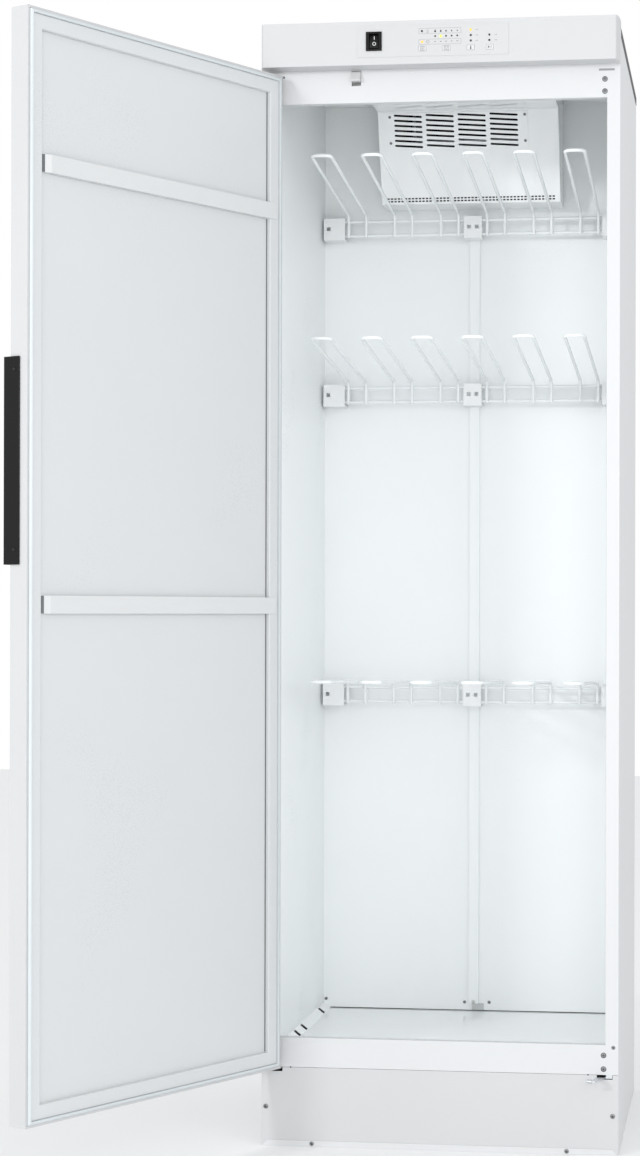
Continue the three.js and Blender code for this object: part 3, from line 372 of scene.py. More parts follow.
def cad_bmesh(node):
    """The node's mesh, in millimetres, with its triangles merged back into flat faces."""
    bm = bmesh.new()
    bm.from_mesh(frame["nodes"][node].data)
    bmesh.ops.scale(bm, vec=(1 / MM,) * 3, verts=bm.verts)
    bmesh.ops.remove_doubles(bm, verts=bm.verts, dist=WELD_DISTANCE)
    bmesh.ops.dissolve_limit(bm, angle_limit=FLAT_ANGLE, verts=bm.verts, edges=bm.edges)
    return bm


def round_edges(bm, width, segments, chosen=None, angle=25):
    edges = [e for e in bm.edges if len(e.link_faces) == 2 and e.calc_face_angle(0) > math.radians(angle)
             and (chosen is None or chosen(e))]
    if edges:
        bmesh.ops.bevel(bm, geom=edges, offset=width, segments=segments, profile=0.5, affect="EDGES",
                        clamp_overlap=True)


def skin(node, bm, material=None):
    """The finished mesh that takes a CAD node's place."""
    made = from_bmesh(node + "_skin", bm, material or MATERIALS[slot_of[node]])
    place(made, body_of[node], [node])
    return made


def dressed(node, width, segments=2, material=None):
    """A CAD node with its edges broken, as folded sheet and moulded plastic have them."""
    bm = cad_bmesh(node)
    round_edges(bm, width, segments)
    skin(node, bm, material)


def ring_of(bm, centre, side, up, radius, sides):
    """A ring of vertices round a centre, in the plane of two directions."""
    turns = (2 * math.pi * k / sides for k in range(sides))
    return [bm.verts.new(centre + (side * math.cos(a) + up * math.sin(a)) * radius) for a in turns]


def join_rings(bm, first, second):
    for k in range(len(first)):
        j = (k + 1) % len(first)
        bm.faces.new((first[k], first[j], second[j], second[k]))


def cap_wire(bm, ring, outward, radius, dome):
    """The end of a wire: flat, or domed in two steps."""
    centre = sum((v.co for v in ring), Vector()) / len(ring)
    last = ring
    for share, lift in WIRE_DOME if dome else ():
        inner = [bm.verts.new(centre + (v.co - centre) * share + outward * radius * lift) for v in ring]
        join_rings(bm, last, inner)
        last = inner
    bm.faces.new(last)


def wire(bm, points, radius, sides=14, domed=(True, True)):
    """A round wire along the points, carried without twist."""
    points = [Vector(p) for p in points]
    ends = zip([points[0]] + points[:-1], points[1:] + [points[-1]])
    tangents = [(after - before).normalized() for before, after in ends]
    side = tangents[0].orthogonal().normalized()
    rings = []
    for point, tangent in zip(points, tangents):
        side = (side - tangent * side.dot(tangent)).normalized()
        rings.append(ring_of(bm, point, side, tangent.cross(side), radius, sides))
    for first, second in zip(rings, rings[1:]):
        join_rings(bm, first, second)
    cap_wire(bm, rings[0], -tangents[0], radius, domed[0])
    cap_wire(bm, rings[-1], tangents[-1], radius, domed[1])


def rounded_path(corners, radii, steps=8):
    """A path through the corners, with an arc of the given radius at each inner one."""
    points = [Vector(c) for c in corners]
    path = [points[0]]
    for before, corner, after, radius in zip(points, points[1:], points[2:], radii):
        into = (corner - before).normalized()
        out = (after - corner).normalized()
        turn = into.angle(out)
        start = corner - into * radius * math.tan(turn / 2)
        centre = corner + (out - into).normalized() * radius / math.cos(turn / 2)
        axis = into.cross(out).normalized()
        for step in range(steps + 1):
            path.append(Matrix.Rotation(turn * step / steps, 3, axis) @ (start - centre) + centre)
    path.append(points[-1])
    return path


def lathe(bm, centre, axis, profile, sides=20):
    """A turned form: the profile holds (distance along the axis, radius), from one end to the other.

    A radius of nought closes the form in a point.
    """
    centre, axis = Vector(centre), Vector(axis).normalized()
    side = axis.orthogonal().normalized()
    up = axis.cross(side)
    rings = []
    for along, radius in profile:
        middle = centre + axis * along
        rings.append(ring_of(bm, middle, side, up, radius, sides) if radius else [bm.verts.new(middle)])
    for first, second in zip(rings, rings[1:]):
        for k in range(sides):
            corners = [first[k % len(first)], first[(k + 1) % len(first)],
                       second[(k + 1) % len(second)], second[k % len(second)]]
            bm.faces.new(list(dict.fromkeys(corners)))


def prism(bm, near, far):
    """A solid between two outlines with as many points."""
    first = [bm.verts.new(p) for p in near]
    second = [bm.verts.new(p) for p in far]
    bm.faces.new(first)
    bm.faces.new(second[::-1])
    for k in range(len(first)):
        j = (k + 1) % len(first)
        bm.faces.new((first[k], second[k], second[j], first[j]))


def block(bm, low, high, turn=None):
    """A box between two corners; turn carries each corner elsewhere, such as onto the open door."""
    corners = [Vector((x, y, z)) for z in (low[2], high[2]) for y in (low[1], high[1])
               for x in (low[0], high[0])]
    verts = [bm.verts.new(turn(*c) if turn else c) for c in corners]
    for quad in ((0, 2, 3, 1), (4, 5, 7, 6), (0, 1, 5, 4), (2, 6, 7, 3), (0, 4, 6, 2), (1, 3, 7, 5)):
        bm.faces.new([verts[k] for k in quad])


# ---- Flat prints: outlines are (x, z) points ----

DROP_ROUND = 0.34  # radius of a drop's foot, for a height of 1


def slab(bm, outline, y0, y1):
    prism(bm, [(x, y0, z) for x, z in outline], [(x, y1, z) for x, z in outline])


def circle(x, z, radius, sides=16):
    return [(x + radius * math.cos(2 * math.pi * k / sides), z + radius * math.sin(2 * math.pi * k / sides))
            for k in range(sides)]


def rectangle(x, z, w, h):
    return [(x - w / 2, z - h / 2), (x + w / 2, z - h / 2), (x + w / 2, z + h / 2), (x - w / 2, z + h / 2)]


def frame_lines(x, z, w, h, line):
    """The four strokes of a rectangle's outline."""
    across = [rectangle(x, z + s * (h - line) / 2, w, line) for s in (-1, 1)]
    upright = [rectangle(x + s * (w - line) / 2, z, line, h - 2 * line) for s in (-1, 1)]
    return across + upright


def ring_strokes(x, z, radius, line, sides=16):
    outer = circle(x, z, radius, sides)
    inner = circle(x, z, radius - line, sides)
    following = [(k, (k + 1) % sides) for k in range(sides)]
    return [[outer[k], outer[j], inner[j], inner[k]] for k, j in following]


def drop(x, z, height):
    """A water drop, point up."""
    r = height * DROP_ROUND
    low = z - height / 2 + r
    turns = [math.radians(30 - 30 * k) for k in range(9)]
    return [(x, z + height / 2)] + [(x + r * math.cos(a), low + r * math.sin(a)) for a in turns]


def printed(name, outlines, body, material, y=LABEL_FRONT, thick=0.12):
    bm = bmesh.new()
    for outline in outlines:
        slab(bm, outline, y - thick, y)
    place(from_bmesh(name, bm, material), body)


# ---- Camera ----

PHOTO_WIDTH, PHOTO_HEIGHT = 640, 1156
LENS_PX = 2455.03
AXIS_PX = (435, 606.09)  # where the lens's axis meets the photo
SENSOR = 36
CAMERA_PLACE = (0.50530, -4.31302, 0.89300)
YAW, PITCH, ROLL = 0.1265, 0.0018, 0.0022
CLIP = (0.1, 60)


def camera():
    data = bpy.data.cameras.new("camera")
    data.sensor_width = SENSOR
    data.lens = LENS_PX * SENSOR / PHOTO_HEIGHT
    data.shift_x = (PHOTO_WIDTH / 2 - AXIS_PX[0]) / PHOTO_HEIGHT
    data.shift_y = (AXIS_PX[1] - PHOTO_HEIGHT / 2) / PHOTO_HEIGHT
    data.clip_start, data.clip_end = CLIP
    right = Vector((math.cos(YAW), math.sin(YAW), 0))
    ahead = Vector((-math.sin(YAW), math.cos(YAW), 0))
    up = Vector((0, 0, 1))
    forward = ahead * math.cos(PITCH) + up * math.sin(PITCH)
    up = up * math.cos(PITCH) - ahead * math.sin(PITCH)
    rolled_right = right * math.cos(ROLL) + up * math.sin(ROLL)
    rolled_up = up * math.cos(ROLL) - right * math.sin(ROLL)
    turned = Matrix((rolled_right, rolled_up, -forward)).transposed().to_4x4()
    made = bpy.data.objects.new("camera", data)
    made.matrix_world = Matrix.Translation(CAMERA_PLACE) @ turned
    bpy.context.scene.collection.objects.link(made)
    bpy.context.scene.camera = made


# ---- Studio ----

LIGHTS = (  # name, place, target, size and power
    ("left", (-2.45, -4.0, 2.1), (0, 0, 1.0), 0.3, 50),
    ("front", (0.6, -5.2, 1.6), (0, 0, 0.9), 2.4, 38),
    ("right", (3.0, -3.6, 2.0), (0, 0, 0.9), 1.8, 28),
    ("low", (0.5, -3.8, 0.35), (0, 0.2, 1.75), 1.4, 12),
)
SKY = (0.97, 0.985, 1.0, 1)
SKY_STRENGTH = 0.93
FLOOR_HALF = 9000


def area_light(name, location, target, size, power):
    data = bpy.data.lights.new(name, "AREA")
    data.energy = power
    data.shape = "RECTANGLE"
    data.size = size
    data.size_y = size
    made = bpy.data.objects.new(name, data)
    made.location = location
    made.rotation_mode = "QUATERNION"
    made.rotation_quaternion = (Vector(target) - Vector(location)).to_track_quat("-Z", "Y")
    bpy.context.scene.collection.objects.link(made)


def sky():
    """A soft, even light all round, which the camera sees as a white backdrop."""
    world = bpy.data.worlds.new("studio")
    world.use_nodes = True
    nodes, links = world.node_tree.nodes, world.node_tree.links
    background = nodes["Background"]
    background.inputs["Color"].default_value = SKY
    background.inputs["Strength"].default_value = SKY_STRENGTH
    backdrop = nodes.new("ShaderNodeBackground")
    backdrop.inputs["Color"].default_value = (1, 1, 1, 1)
    either = nodes.new("ShaderNodeMixShader")
    links.new(nodes.new("ShaderNodeLightPath").outputs["Is Camera Ray"], either.inputs["Fac"])
    links.new(background.outputs["Background"], either.inputs[1])
    links.new(backdrop.outputs["Background"], either.inputs[2])
    links.new(either.outputs["Shader"], nodes["World Output"].inputs["Surface"])
    bpy.context.scene.world = world


def studio():
    bpy.context.scene.view_settings.view_transform = "Standard"
    sky()
    bm = bmesh.new()
    bmesh.ops.create_grid(bm, x_segments=1, y_segments=1, size=FLOOR_HALF)
    floor = from_bmesh("floor", bm, finish("floor_pale", (0.9, 0.9, 0.9), 0.7, tone=0.01))
    for light in LIGHTS:
        area_light(*light)


# ---- Racks ----

def loop_path(x, rod_z, rise):
    """One loop: up in front of the rods, forward to its tip, and back down beside itself."""
    stand, tip = ROD_Y - LOOP_STAND_OFF, ROD_Y - LOOP_REACH
    foot, bend, top = rod_z - ROD_SPACING - LOOP_TAIL, rod_z + LOOP_STAND, rod_z + rise
    left, right = x - LOOP_WIDTH / 2, x + LOOP_WIDTH / 2
    corners = [(left, stand, foot), (left, stand, bend), (left, tip, top),
               (right, tip, top), (right, stand, bend), (right, stand, foot)]
    return rounded_path(corners, LOOP_BENDS)


def half_rack(name, side, rod_z, rise):
    """Two rods and three loops, as smooth wire with a small weld at each crossing."""
    rod_zs = (rod_z, rod_z - ROD_SPACING)
    bm = bmesh.new()
    for z in rod_zs:
        along = (side * ROD_HALF, side * ROD_HALF / 2, 0)
        wire(bm, [(x, ROD_Y, z) for x in along], WIRE, domed=(True, False))
    for i in range(LOOPS):
        x = side * (i + 0.5) * LOOP_PITCH
        wire(bm, loop_path(x, rod_z, rise), WIRE)
        for wire_x in (x - LOOP_WIDTH / 2, x + LOOP_WIDTH / 2):
            for z in rod_zs:
                lathe(bm, (wire_x, ROD_Y - WELD_BACK, z), (1, 0, 0), WELD, WELD_SIDES)
    node = f"rack_{name}_{'left' if side < 0 else 'right'}"
    made = from_bmesh(node + "_wires", bm, MATERIALS["wire_enamel"], smooth=60)
    place(made, body_of[node], [node])


# ---- The door's position: points are given with the door shut ----

def opened_direction(x, y, z):
    return Matrix.Rotation(-OPEN_ANGLE, 3, "Z") @ Vector((x, y, z))


def opened(x, y, z):
    """A point that is given with the door shut, where it is with the door as it stands."""
    return opened_direction(*(Vector((x, y, z)) - HINGE)) + HINGE


def shut(point):
    """A point on the door as it stands, where it is with the door shut."""
    return Matrix.Rotation(OPEN_ANGLE, 3, "Z") @ (Vector(point) - HINGE) + HINGE


# ---- Fasteners ----

RECESS_LENGTH, RECESS_WIDTH = 0.55, 0.11  # half sizes, for a head's radius of 1
RECESS_LEVELS = (1.03, 0.5)  # for a head's rise of 1
CROWN = ((0.48, 1), (0.8, 0.86), (0.96, 0.55), (1, 0))  # height and radius, for a rise and a radius of 1
PAN_RISE = 0.52  # for a head's radius of 1
SUNK = 0.2  # how far a head reaches below its seat


def cross_recess(bm, centre, axis, radius, rise):
    """The two crossed bars of a screw's recess."""
    side = axis.orthogonal().normalized()
    half_length, half_width = RECESS_LENGTH * radius, RECESS_WIDTH * radius
    top, low = (axis * (level * rise) for level in RECESS_LEVELS)
    for turn in (45, 135):
        along = Matrix.Rotation(math.radians(turn), 3, axis) @ side
        across = axis.cross(along)
        ring = [Vector(centre) + along * s * half_length + across * t * half_width
                for s, t in ((1, 1), (-1, 1), (-1, -1), (1, -1))]
        prism(bm, [p + top for p in ring], [p + low for p in ring])


def screw(name, centre, normal, radius, body, material=SCREW_STEEL, rise=None):
    """A head with a crossed recess: a pan head, or one that is countersunk where its rise is given."""
    rise = rise or PAN_RISE * radius
    crown = [(up * rise, share * radius) for up, share in CROWN]
    bm = bmesh.new()
    lathe(bm, centre, normal, [(-SUNK, 0), (-SUNK, radius)] + crown, 18)
    place(from_bmesh(name, bm, material), body)
    bm = bmesh.new()
    cross_recess(bm, centre, Vector(normal).normalized(), radius, rise)
    place(from_bmesh(name + "_recess", bm, SHADOW), body)


def frame_screws(ahead):
    rings = []
    for i, (x, z) in enumerate(FRAME_SCREWS, 1):
        screw(f"frame_screw_{i}", (x, FRONT, z), ahead, FRAME_HEAD, "cabinet", rise=FLUSH)
        # Painted shade: a black ring round each head, where the countersink is shaded
        rings += ring_strokes(x, z, FRAME_SHADE_RING, FRAME_SHADE_RING_LINE, 24)
    printed("frame_screw_shade_rings", rings, "cabinet", INK, FRONT, thick=0.1)


def grille_screws():
    places = [(x, fall) for fall in GRILLE_SCREW_FALLS for x in GRILLE_SCREW_XS]
    for i, (x, fall) in enumerate(places, 1):
        centre = GRILLE_TOP + GRILLE_DOWN * fall + GRILLE_OUT * GRILLE_RISE + Vector((x, 0, 0))
        screw(f"grille_screw_{i}", centre, GRILLE_OUT, SMALL_HEAD, "cabinet")


def fasteners():
    ahead = (0, -1, 0)
    frame_screws(ahead)
    for i, (x, z) in enumerate(PLINTH_SCREWS, 1):
        screw(f"plinth_screw_{i}", (x, FRONT, z), ahead, PLINTH_HEAD, "cabinet")
    screw("jamb_screw", JAMB_SCREW, ahead, JAMB_HEAD, "cabinet", rise=FLUSH)
    for i, x in enumerate(TRAY_SCREW_XS, 1):
        screw(f"tray_screw_{i}", (x, FRONT - TRAY_LIP, TRAY_SCREW_Z), ahead, TRAY_HEAD, "cabinet")
    for i, (x, z) in enumerate(BACK_SCREWS, 1):
        screw(f"back_screw_{i}", (x, BACK_WALL, z), ahead, BACK_HEAD, "cabinet")
    dots = [circle(x, SEAM_Z, SEAM_DOT, 12) for x in SEAM_DOT_XS]
    printed("seam_dots", dots, "cabinet", INK, FRONT, thick=0.15)
    grille_screws()
    outward = opened_direction(1, 0, 0)
    for i, z in enumerate(HANDLE_SCREW_ZS, 1):
        centre = opened(HANDLE_SCREW_X, HANDLE_SCREW_Y, z)
        screw(f"handle_screw_{i}", centre, outward, SMALL_HEAD, "door", SCREW_BLACK)


# ---- Body ----

def on_edge(edge, **levels):
    """Whether both ends of an edge lie on the given planes; x stands for both sides of the body."""
    def distance(vert, axis, level):
        value = getattr(vert.co, axis)
        return abs(abs(value) - level) if axis == "x" else abs(value - level)

    return all(distance(v, axis, level) < ON_PLANE for v in edge.verts for axis, level in levels.items())


def frame_member(node, chosen, cuts=()):
    """A panel of the folded front: only the edges that the real fold rounds, so its joints stay closed."""
    bm = cad_bmesh(node)
    for z in cuts:
        bmesh.ops.bisect_plane(bm, geom=bm.verts[:] + bm.edges[:] + bm.faces[:], plane_co=(0, 0, z),
                               plane_no=(0, 0, 1))
    round_edges(bm, FOLD_EDGE, 3, chosen)
    skin(node, bm)


def beside_doorway(edge):
    within = all(SILL_TOP - 0.1 < v.co.z < HEADER_LOW + 0.1 for v in edge.verts)
    return within and on_edge(edge, x=DOORWAY_HALF, y=FRONT)


def folded_front():
    for side in ("left", "right"):
        frame_member(f"{side}_side_panel", lambda e: on_edge(e, x=HALF_WIDTH, y=FRONT))
        frame_member(f"{side}_jamb", beside_doorway, (SILL_TOP, HEADER_LOW))
    frame_member("header", lambda e: on_edge(e, z=HEADER_LOW, y=FRONT))
    frame_member("sill", lambda e: on_edge(e, z=SILL_TOP, y=FRONT))


def cover_lips():
    """The black cover's edges, folded down over the side panels."""
    bm = bmesh.new()
    for side in (-1, 1):
        xs = sorted((side * (HALF_WIDTH - LIP_IN), side * (HALF_WIDTH + LIP_OUT)))
        block(bm, (xs[0], COVER_FRONT, COVER_TOP - LIP_DEPTH), (xs[1], REAR, COVER_TOP))
    round_edges(bm, THIN_EDGE, 2)
    place(from_bmesh("cover_lips", bm, MATERIALS["black_paint"]), "cabinet")


def slot_plate():
    """The zinc stiffener seen through the unused hinge slot, for a door that is hung on the other side."""
    bm = bmesh.new()
    block(bm, *SLOT_PLATE_BOX)
    place(from_bmesh("slot_plate", bm, SLOT_PLATE), "cabinet")


def rail_notch_painted_shade():
    """Painted shade: a grey block in the notch at the foot of the centre rail."""
    bm = bmesh.new()
    block(bm, *RAIL_NOTCH_SHADE_BOX)
    round_edges(bm, NOTCH_SHADE_EDGE, 2)
    place(from_bmesh("rail_notch_painted_shade", bm, PALE_SHADE_PAINT), "cabinet")


def housing_shade_sheet():
    """Painted shade: a near-black sheet on the back wall inside the blower's housing, where shade falls."""
    bm = bmesh.new()
    block(bm, *HOUSING_SHADE_BOX)
    place(from_bmesh("housing_back_painted_shade", bm, HOUSING_SHADE), "cabinet")


def housing():
    """The blower's housing: white outside, with painted shade (near-black) on its larger inner faces."""
    def inward(face):
        return (face.calc_center_median() - HOUSING_CORE).dot(face.normal) < 0

    def outer_fold(edge):
        return edge.calc_length() > LONG_FOLD and not any(inward(face) for face in edge.link_faces)

    bm = cad_bmesh("fan_housing")
    bm.normal_update()
    round_edges(bm, HOUSING_EDGE, 3, outer_fold)
    bm.normal_update()
    for face in bm.faces:
        face.material_index = int(inward(face) and face.calc_area() > LARGE_FACE)
    skin("fan_housing", bm, HOUSING_LIT).data.materials.append(HOUSING_SHADE)


def dress_body():
    folded_front()
    for node in ("rear_panel", "top_cover", "base_tray", "left_inner_wall", "right_inner_wall", "back_wall",
                 "centre_rail"):
        dressed(node, SHEET_EDGE)
    dressed("plinth_panel", SHEET_EDGE, material=PLINTH_SHADED)
    dressed("floor_pan", SHEET_EDGE, material=FLOOR_ENAMEL)
    rail_notch_painted_shade()
    dressed("ceiling_panel", SHEET_EDGE, material=HOUSING_LIT)
    dressed("intake_grille", SHEET_EDGE, material=HOUSING_LIT)
    housing()
    housing_shade_sheet()
    cover_lips()
    slot_plate()
    for node in ("hinge_plate_lower", "hinge_plate_upper", "catch_plate", "catch_roller", "door_strike"):
        dressed(node, FITTING_EDGE)


def dress_controls():
    dressed("fascia", FASCIA_EDGE, 3, FASCIA)
    dressed("control_label", THIN_EDGE, material=LABEL)
    dressed("switch_housing", SOFT_EDGE)
    dressed("power_rocker", MOULDED_EDGE)
    dressed("door_switch_lever", MOULDED_EDGE)
    for i in range(1, 5):
        dressed(f"control_key_{i}", THIN_EDGE)


def dress_brackets():
    for level in RACKS:
        for spot in ("left", "centre", "right"):
            dressed(f"rack_bracket_{level}_{spot}", MOULDED_EDGE, material=BRACKET)


# ---- Door ----

def inset(point):
    """How far a point lies in from the door's outline."""
    p = shut(point)
    return min(p.x - DOOR_X[0], DOOR_X[1] - p.x, p.z - DOOR_Z[0], DOOR_Z[1] - p.z)


def door_pan():
    """The pan with a soft fold round its recess, and painted shade (dark grey) in the gasket's groove."""
    def at_fold(edge):
        return all(abs(inset(v.co) - DOOR_WELL) < NEAR and abs(shut(v.co).y - DOOR_INNER) < NEAR
                   for v in edge.verts)

    bm = cad_bmesh("door_inner_pan")
    round_edges(bm, WELL_EDGE, 4, at_fold)
    bm.normal_update()
    for face in bm.faces:
        middle = face.calc_center_median()
        deep = shut(middle).y < DOOR_INNER - GROOVE_DEPTH
        face.material_index = int(deep and GASKET_GROOVE[0] < inset(middle) < GASKET_GROOVE[1])
    skin("door_inner_pan", bm, DOOR_PAN).data.materials.append(DARK_SHADE_PAINT)


def recess_painted_shade():
    """Painted shade along the foot of the recess's wall: dark grey strips by the hinge, broken by the bars,
    and a pale grey strip at the top.
    """
    left, right = DOOR_X[0] + DOOR_WELL, DOOR_X[1] - DOOR_WELL
    low, high = DOOR_Z[0] + DOOR_WELL, DOOR_Z[1] - DOOR_WELL
    floor = DOOR_INNER - WELL_DEPTH - SHADE_LINE_SUNK
    bars = [z for bar in BAR_LOWS for z in (bar - BAR_MARGIN, bar + BAR_HEIGHT + BAR_MARGIN)]
    ends = [low + SHADE_LINE_END, *bars, high]
    bm = bmesh.new()
    for z0, z1 in zip(ends[::2], ends[1::2]):
        block(bm, (left - SHADE_LINE_SUNK, floor, z0), (left + SHADE_LINE_WIDTH, floor + SHADE_LINE_DEPTH, z1), opened)
    place(from_bmesh("recess_painted_shade", bm, DARK_SHADE_PAINT), "door")
    bm = bmesh.new()
    block(bm, (left + SHADE_LINE_WIDTH, floor, high - TOP_SHADE_LINE_WIDTH),
          (right - SHADE_LINE_END, floor + TOP_SHADE_LINE_DEPTH, high + SHADE_LINE_SUNK), opened)
    place(from_bmesh("recess_top_painted_shade", bm, PALE_SHADE_PAINT), "door")


def bar_end_shade():
    """Painted shade: a dark grey strip across each bar's ramp, at its foot, where the bar's open end is
    shaded.
    """
    ramp = [(BAR_FOOT - run, DOOR_INNER - BAR_SHADE_FOOT + run * BAR_SLOPE) for run in BAR_SHADE]
    outline = [(x, y - BAR_SHADE_SUNK) for x, y in ramp] + [(x, y + BAR_SHADE_PROUD) for x, y in reversed(ramp)]
    bm = bmesh.new()
    for z in BAR_LOWS:
        low, high = z + BAR_SHADE_MARGIN, z + BAR_HEIGHT - BAR_SHADE_MARGIN
        prism(bm, [opened(x, y, low) for x, y in outline], [opened(x, y, high) for x, y in outline])
    place(from_bmesh("bar_end_painted_shade", bm, DARK_SHADE_PAINT), "door")


def handle():
    """The handle, with large rounds at the two ends of its back edge."""
    def at_back_corner(edge):
        return all(abs(shut(v.co).y - HANDLE_BACK) < NEAR and min(abs(v.co.z - z) for z in HANDLE_Z) < NEAR
                   for v in edge.verts)

    bm = cad_bmesh("door_handle")
    round_edges(bm, HANDLE_ROUND, 6, at_back_corner)
    round_edges(bm, HANDLE_EDGE, 2, angle=40)
    skin("door_handle", bm)


def dress_door():
    dressed("door_outer_shell", SHEET_EDGE, material=DOOR_SHELL_SHADED)
    door_pan()
    dressed("door_gasket", GASKET_EDGE, 3)
    dressed("door_bar_lower", SHEET_EDGE, material=BAR_FACE)
    dressed("door_bar_upper", SHEET_EDGE, material=BAR_FACE)
    bar_end_shade()
    recess_painted_shade()
    handle()


# ---- Control label ----

# Names with PX or ROW, and the places of blocks and lamps, are in the photo's pixels.

LABEL_PX_PER_MM = (0.6055, 0.612)
FASCIA_CORNER_PX = (262, 21.9)
FASCIA_CORNER = (-291, 1862)
LINE = 0.5
DROP_PXS = (435.7, 441.3, 446.6, 452.2, 457.8)
DROP_ROW, DASH_ROW = 33.3, 43.9
BOX_ROWS = ((30.3, 35.9), (41.3, 46.7))
BOX_PX, BOX_WIDTH = 440.4, 70
RING_PX, RING_RADIUS = 428.4, 2.6
LIST_PX, LIST_ROW = 428.0, 33.4
LIST_SPACING = 1.2
LIST_LINE = (3.4, 0.45)
DROP_HEIGHT, DROP_SHRINK = 4.6, 0.5  # each drop is a little smaller than the one before
DASH_WIDTH, DASH_GROWTH, DASH_HEIGHT = 3.0, 0.2, 0.9
BLOCK_PXS = ((477, 33), (477, 38.5), (477, 43.9), (496, 38.5), (496, 43.9))
BLOCKS = ((-0.9, 1.5, 0.6), (1.1, 1.3, 1.1))  # place across, width and height
KEY_FRAME = 6.6
KEY_LIST_LENGTH, KEY_LIST_SPACING = 3.4, 1.2
DRUM_FRAME, DRUM_RADIUS = 7.6, 2.1
BULB_DROP, BULB_RADIUS = 1.7, 1.2
STEM_RISE, STEM_WIDTH, STEM_HEIGHT = 0.9, 1.1, 4.0
START_X, START_WIDTH, START_HEIGHT = -3.0, 3.4, 4.8
STOP_X, STOP_WIDTH, STOP_HEIGHT = 2.2, 0.7, 4.4
MARK_I = (-105.1, 1834.6, 0.9, 5.7)
MARK_O = (-105.0, 1824.6, 2.9, 0.7)
MARK_SUNK, MARK_PROUD = 0.02, 0.12
UNLIT = ((422.4, 33.2), (435.7, 38.5), (446.6, 38.5), (452.2, 38.5), (457.8, 38.5),
         (471.3, 38.5), (471.3, 43.9), (489.8, 38.5), (489.8, 43.9))
AMBER = ((422.6, 43.9), (471.1, 33.0))
GREEN = ((441.3, 38.6),)
SMALL_LAMPS = (430, 465)  # between these columns the unlit lamps are smaller
SMALL_LAMP = 0.8
UNLIT_RADIUS, LIT_RADIUS = 1.9, 2.0
LAMP_DOME = ((-0.1, 0), (-0.1, 1), (0.15, 1), (0.4, 0.75), (0.5, 0.3), (0.52, 0))  # height, share of radius


def label_x(px):
    """Across the fascia, from a place in the photo."""
    return (px - FASCIA_CORNER_PX[0]) / LABEL_PX_PER_MM[0] + FASCIA_CORNER[0]


def label_z(py):
    """Up the fascia, from a place in the photo."""
    return FASCIA_CORNER[1] - (py - FASCIA_CORNER_PX[1]) / LABEL_PX_PER_MM[1]


def level_boxes():
    """The two pale frames round the rows of drops and dashes."""
    lines = []
    for top, bottom in BOX_ROWS:
        height = (bottom - top) / LABEL_PX_PER_MM[1]
        lines += frame_lines(label_x(BOX_PX), label_z((top + bottom) / 2), BOX_WIDTH, height, LINE)
    return lines


def grey_marks():
    """Dashes, a ring, three short lines, and a pair of blocks beside each lamp on the right."""
    low = label_z(DASH_ROW)
    marks = [rectangle(label_x(px), low, DASH_WIDTH + DASH_GROWTH * i, DASH_HEIGHT)
             for i, px in enumerate(DROP_PXS)]
    marks += ring_strokes(label_x(RING_PX), low, RING_RADIUS, LINE)
    for down in (-LIST_SPACING, 0, LIST_SPACING):
        marks.append(rectangle(label_x(LIST_PX), label_z(LIST_ROW + down), *LIST_LINE))
    for px, py in BLOCK_PXS:
        marks += [rectangle(label_x(px) + across, label_z(py), w, h) for across, w, h in BLOCKS]
    return marks


def label_prints():
    drops = [drop(label_x(px), label_z(DROP_ROW), DROP_HEIGHT - DROP_SHRINK * i)
             for i, px in enumerate(DROP_PXS)]
    printed("label_print_black", drops, "cabinet", INK)
    printed("label_print_grey", grey_marks(), "cabinet", INK_GREY)
    printed("label_print_pale", level_boxes(), "cabinet", INK_PALE)


def lamps(name, places, material, radius):
    bm = bmesh.new()
    for px, py in places:
        small = material is LED_DARK and SMALL_LAMPS[0] < px < SMALL_LAMPS[1]
        r = radius * (SMALL_LAMP if small else 1.0)
        dome = [(height, share * r) for height, share in LAMP_DOME]
        lathe(bm, (label_x(px), LABEL_FRONT, label_z(py)), (0, -1, 0), dome, 14)
    place(from_bmesh(name, bm, material), "cabinet")


def leds():
    lamps("leds_unlit", UNLIT, LED_DARK, UNLIT_RADIUS)
    lamps("leds_amber", AMBER, LED_AMBER, LIT_RADIUS)
    lamps("led_green", GREEN, LED_GREEN, LIT_RADIUS)


def list_symbol(x, z):
    lines = [rectangle(x, z + s * KEY_LIST_SPACING, KEY_LIST_LENGTH, LINE) for s in (-1, 0, 1)]
    return frame_lines(x, z, KEY_FRAME, KEY_FRAME, LINE) + lines


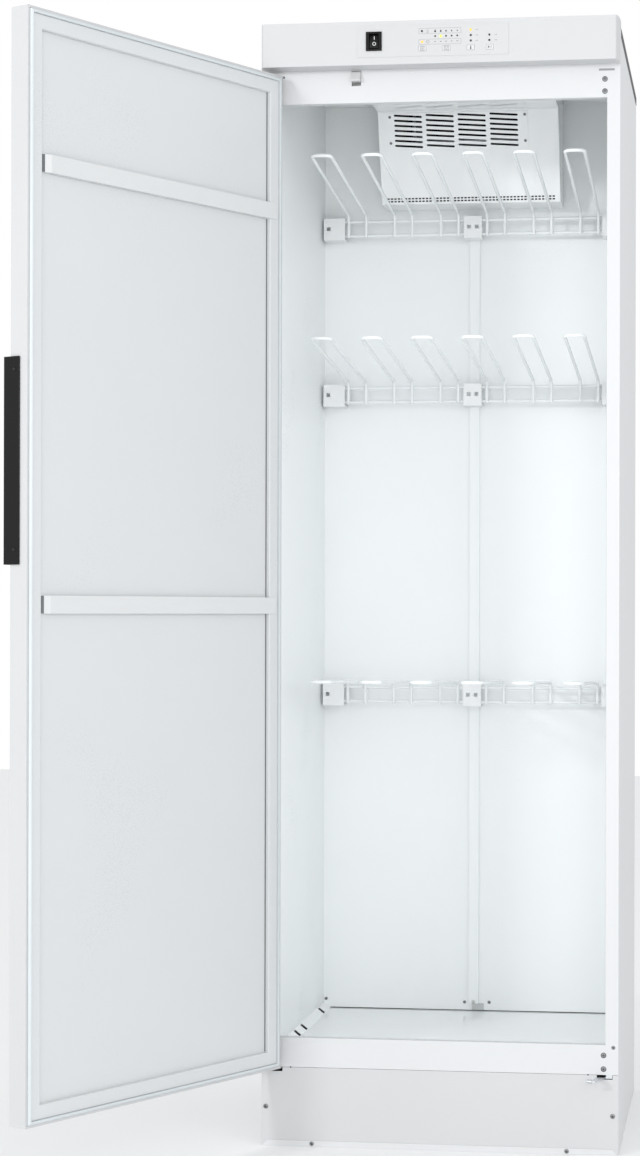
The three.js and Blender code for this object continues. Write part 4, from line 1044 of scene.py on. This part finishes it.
def drum_symbol(x, z):
    return frame_lines(x, z, DRUM_FRAME, KEY_FRAME, LINE) + ring_strokes(x, z, DRUM_RADIUS, LINE)


def thermometer_symbol(x, z):
    bulb = circle(x, z - BULB_DROP, BULB_RADIUS, 12)
    return [bulb, rectangle(x, z + STEM_RISE, STEM_WIDTH, STEM_HEIGHT)]


def start_stop_symbol(x, z):
    base = x + START_X
    start = [(base, z - START_HEIGHT / 2), (base + START_WIDTH, z), (base, z + START_HEIGHT / 2)]
    return [start, rectangle(x + STOP_X, z, STOP_WIDTH, STOP_HEIGHT)]


def key_symbols():
    """One plain pictogram on each key."""
    front = LABEL_FRONT - KEY_RISE
    symbols = (list_symbol, drum_symbol, thermometer_symbol, start_stop_symbol)
    for i, (symbol, x) in enumerate(zip(symbols, KEY_XS), 1):
        ink = INK if symbol is thermometer_symbol else INK_GREY
        printed(f"key_{i}_symbol", symbol(x, KEY_Z), f"key_{i}", ink, front)


def rocker_marks():
    """A white I and O; the rocker's upper half leans back from its crest."""
    bm = bmesh.new()
    for outline in [rectangle(*MARK_I)] + ring_strokes(*MARK_O, 20):
        slab(bm, outline, ROCKER_FACE - MARK_PROUD, ROCKER_FACE + MARK_SUNK)
    for vert in bm.verts:
        vert.co.y += max(0.0, vert.co.z - ROCKER_CREST) * ROCKER_LEAN
    place(from_bmesh("rocker_marks", bm, INK_WHITE), "rocker")


# ---- Whole cabinet ----

def hidden_parts():
    """Parts behind the fascia and inside the housing keep their CAD mesh and only take their material."""
    for node in ("fan_motor", "heater_element", "blower_impeller", "control_board", "door_switch_housing"):
        mesh = frame["nodes"][node].data
        mesh.materials.clear()
        mesh.materials.append(MATERIALS[slot_of[node]])


def build():
    camera()
    studio()
    for name, (rod_z, rise) in RACKS.items():
        for side in (-1, 1):
            half_rack(name, side, rod_z, rise)
    dress_body()
    dress_controls()
    dress_brackets()
    dress_door()
    dressed("exhaust_collar", SHEET_EDGE)
    dressed("mains_gland", SOFT_EDGE)
    hidden_parts()
    label_prints()
    leds()
    key_symbols()
    rocker_marks()
    fasteners()


build()
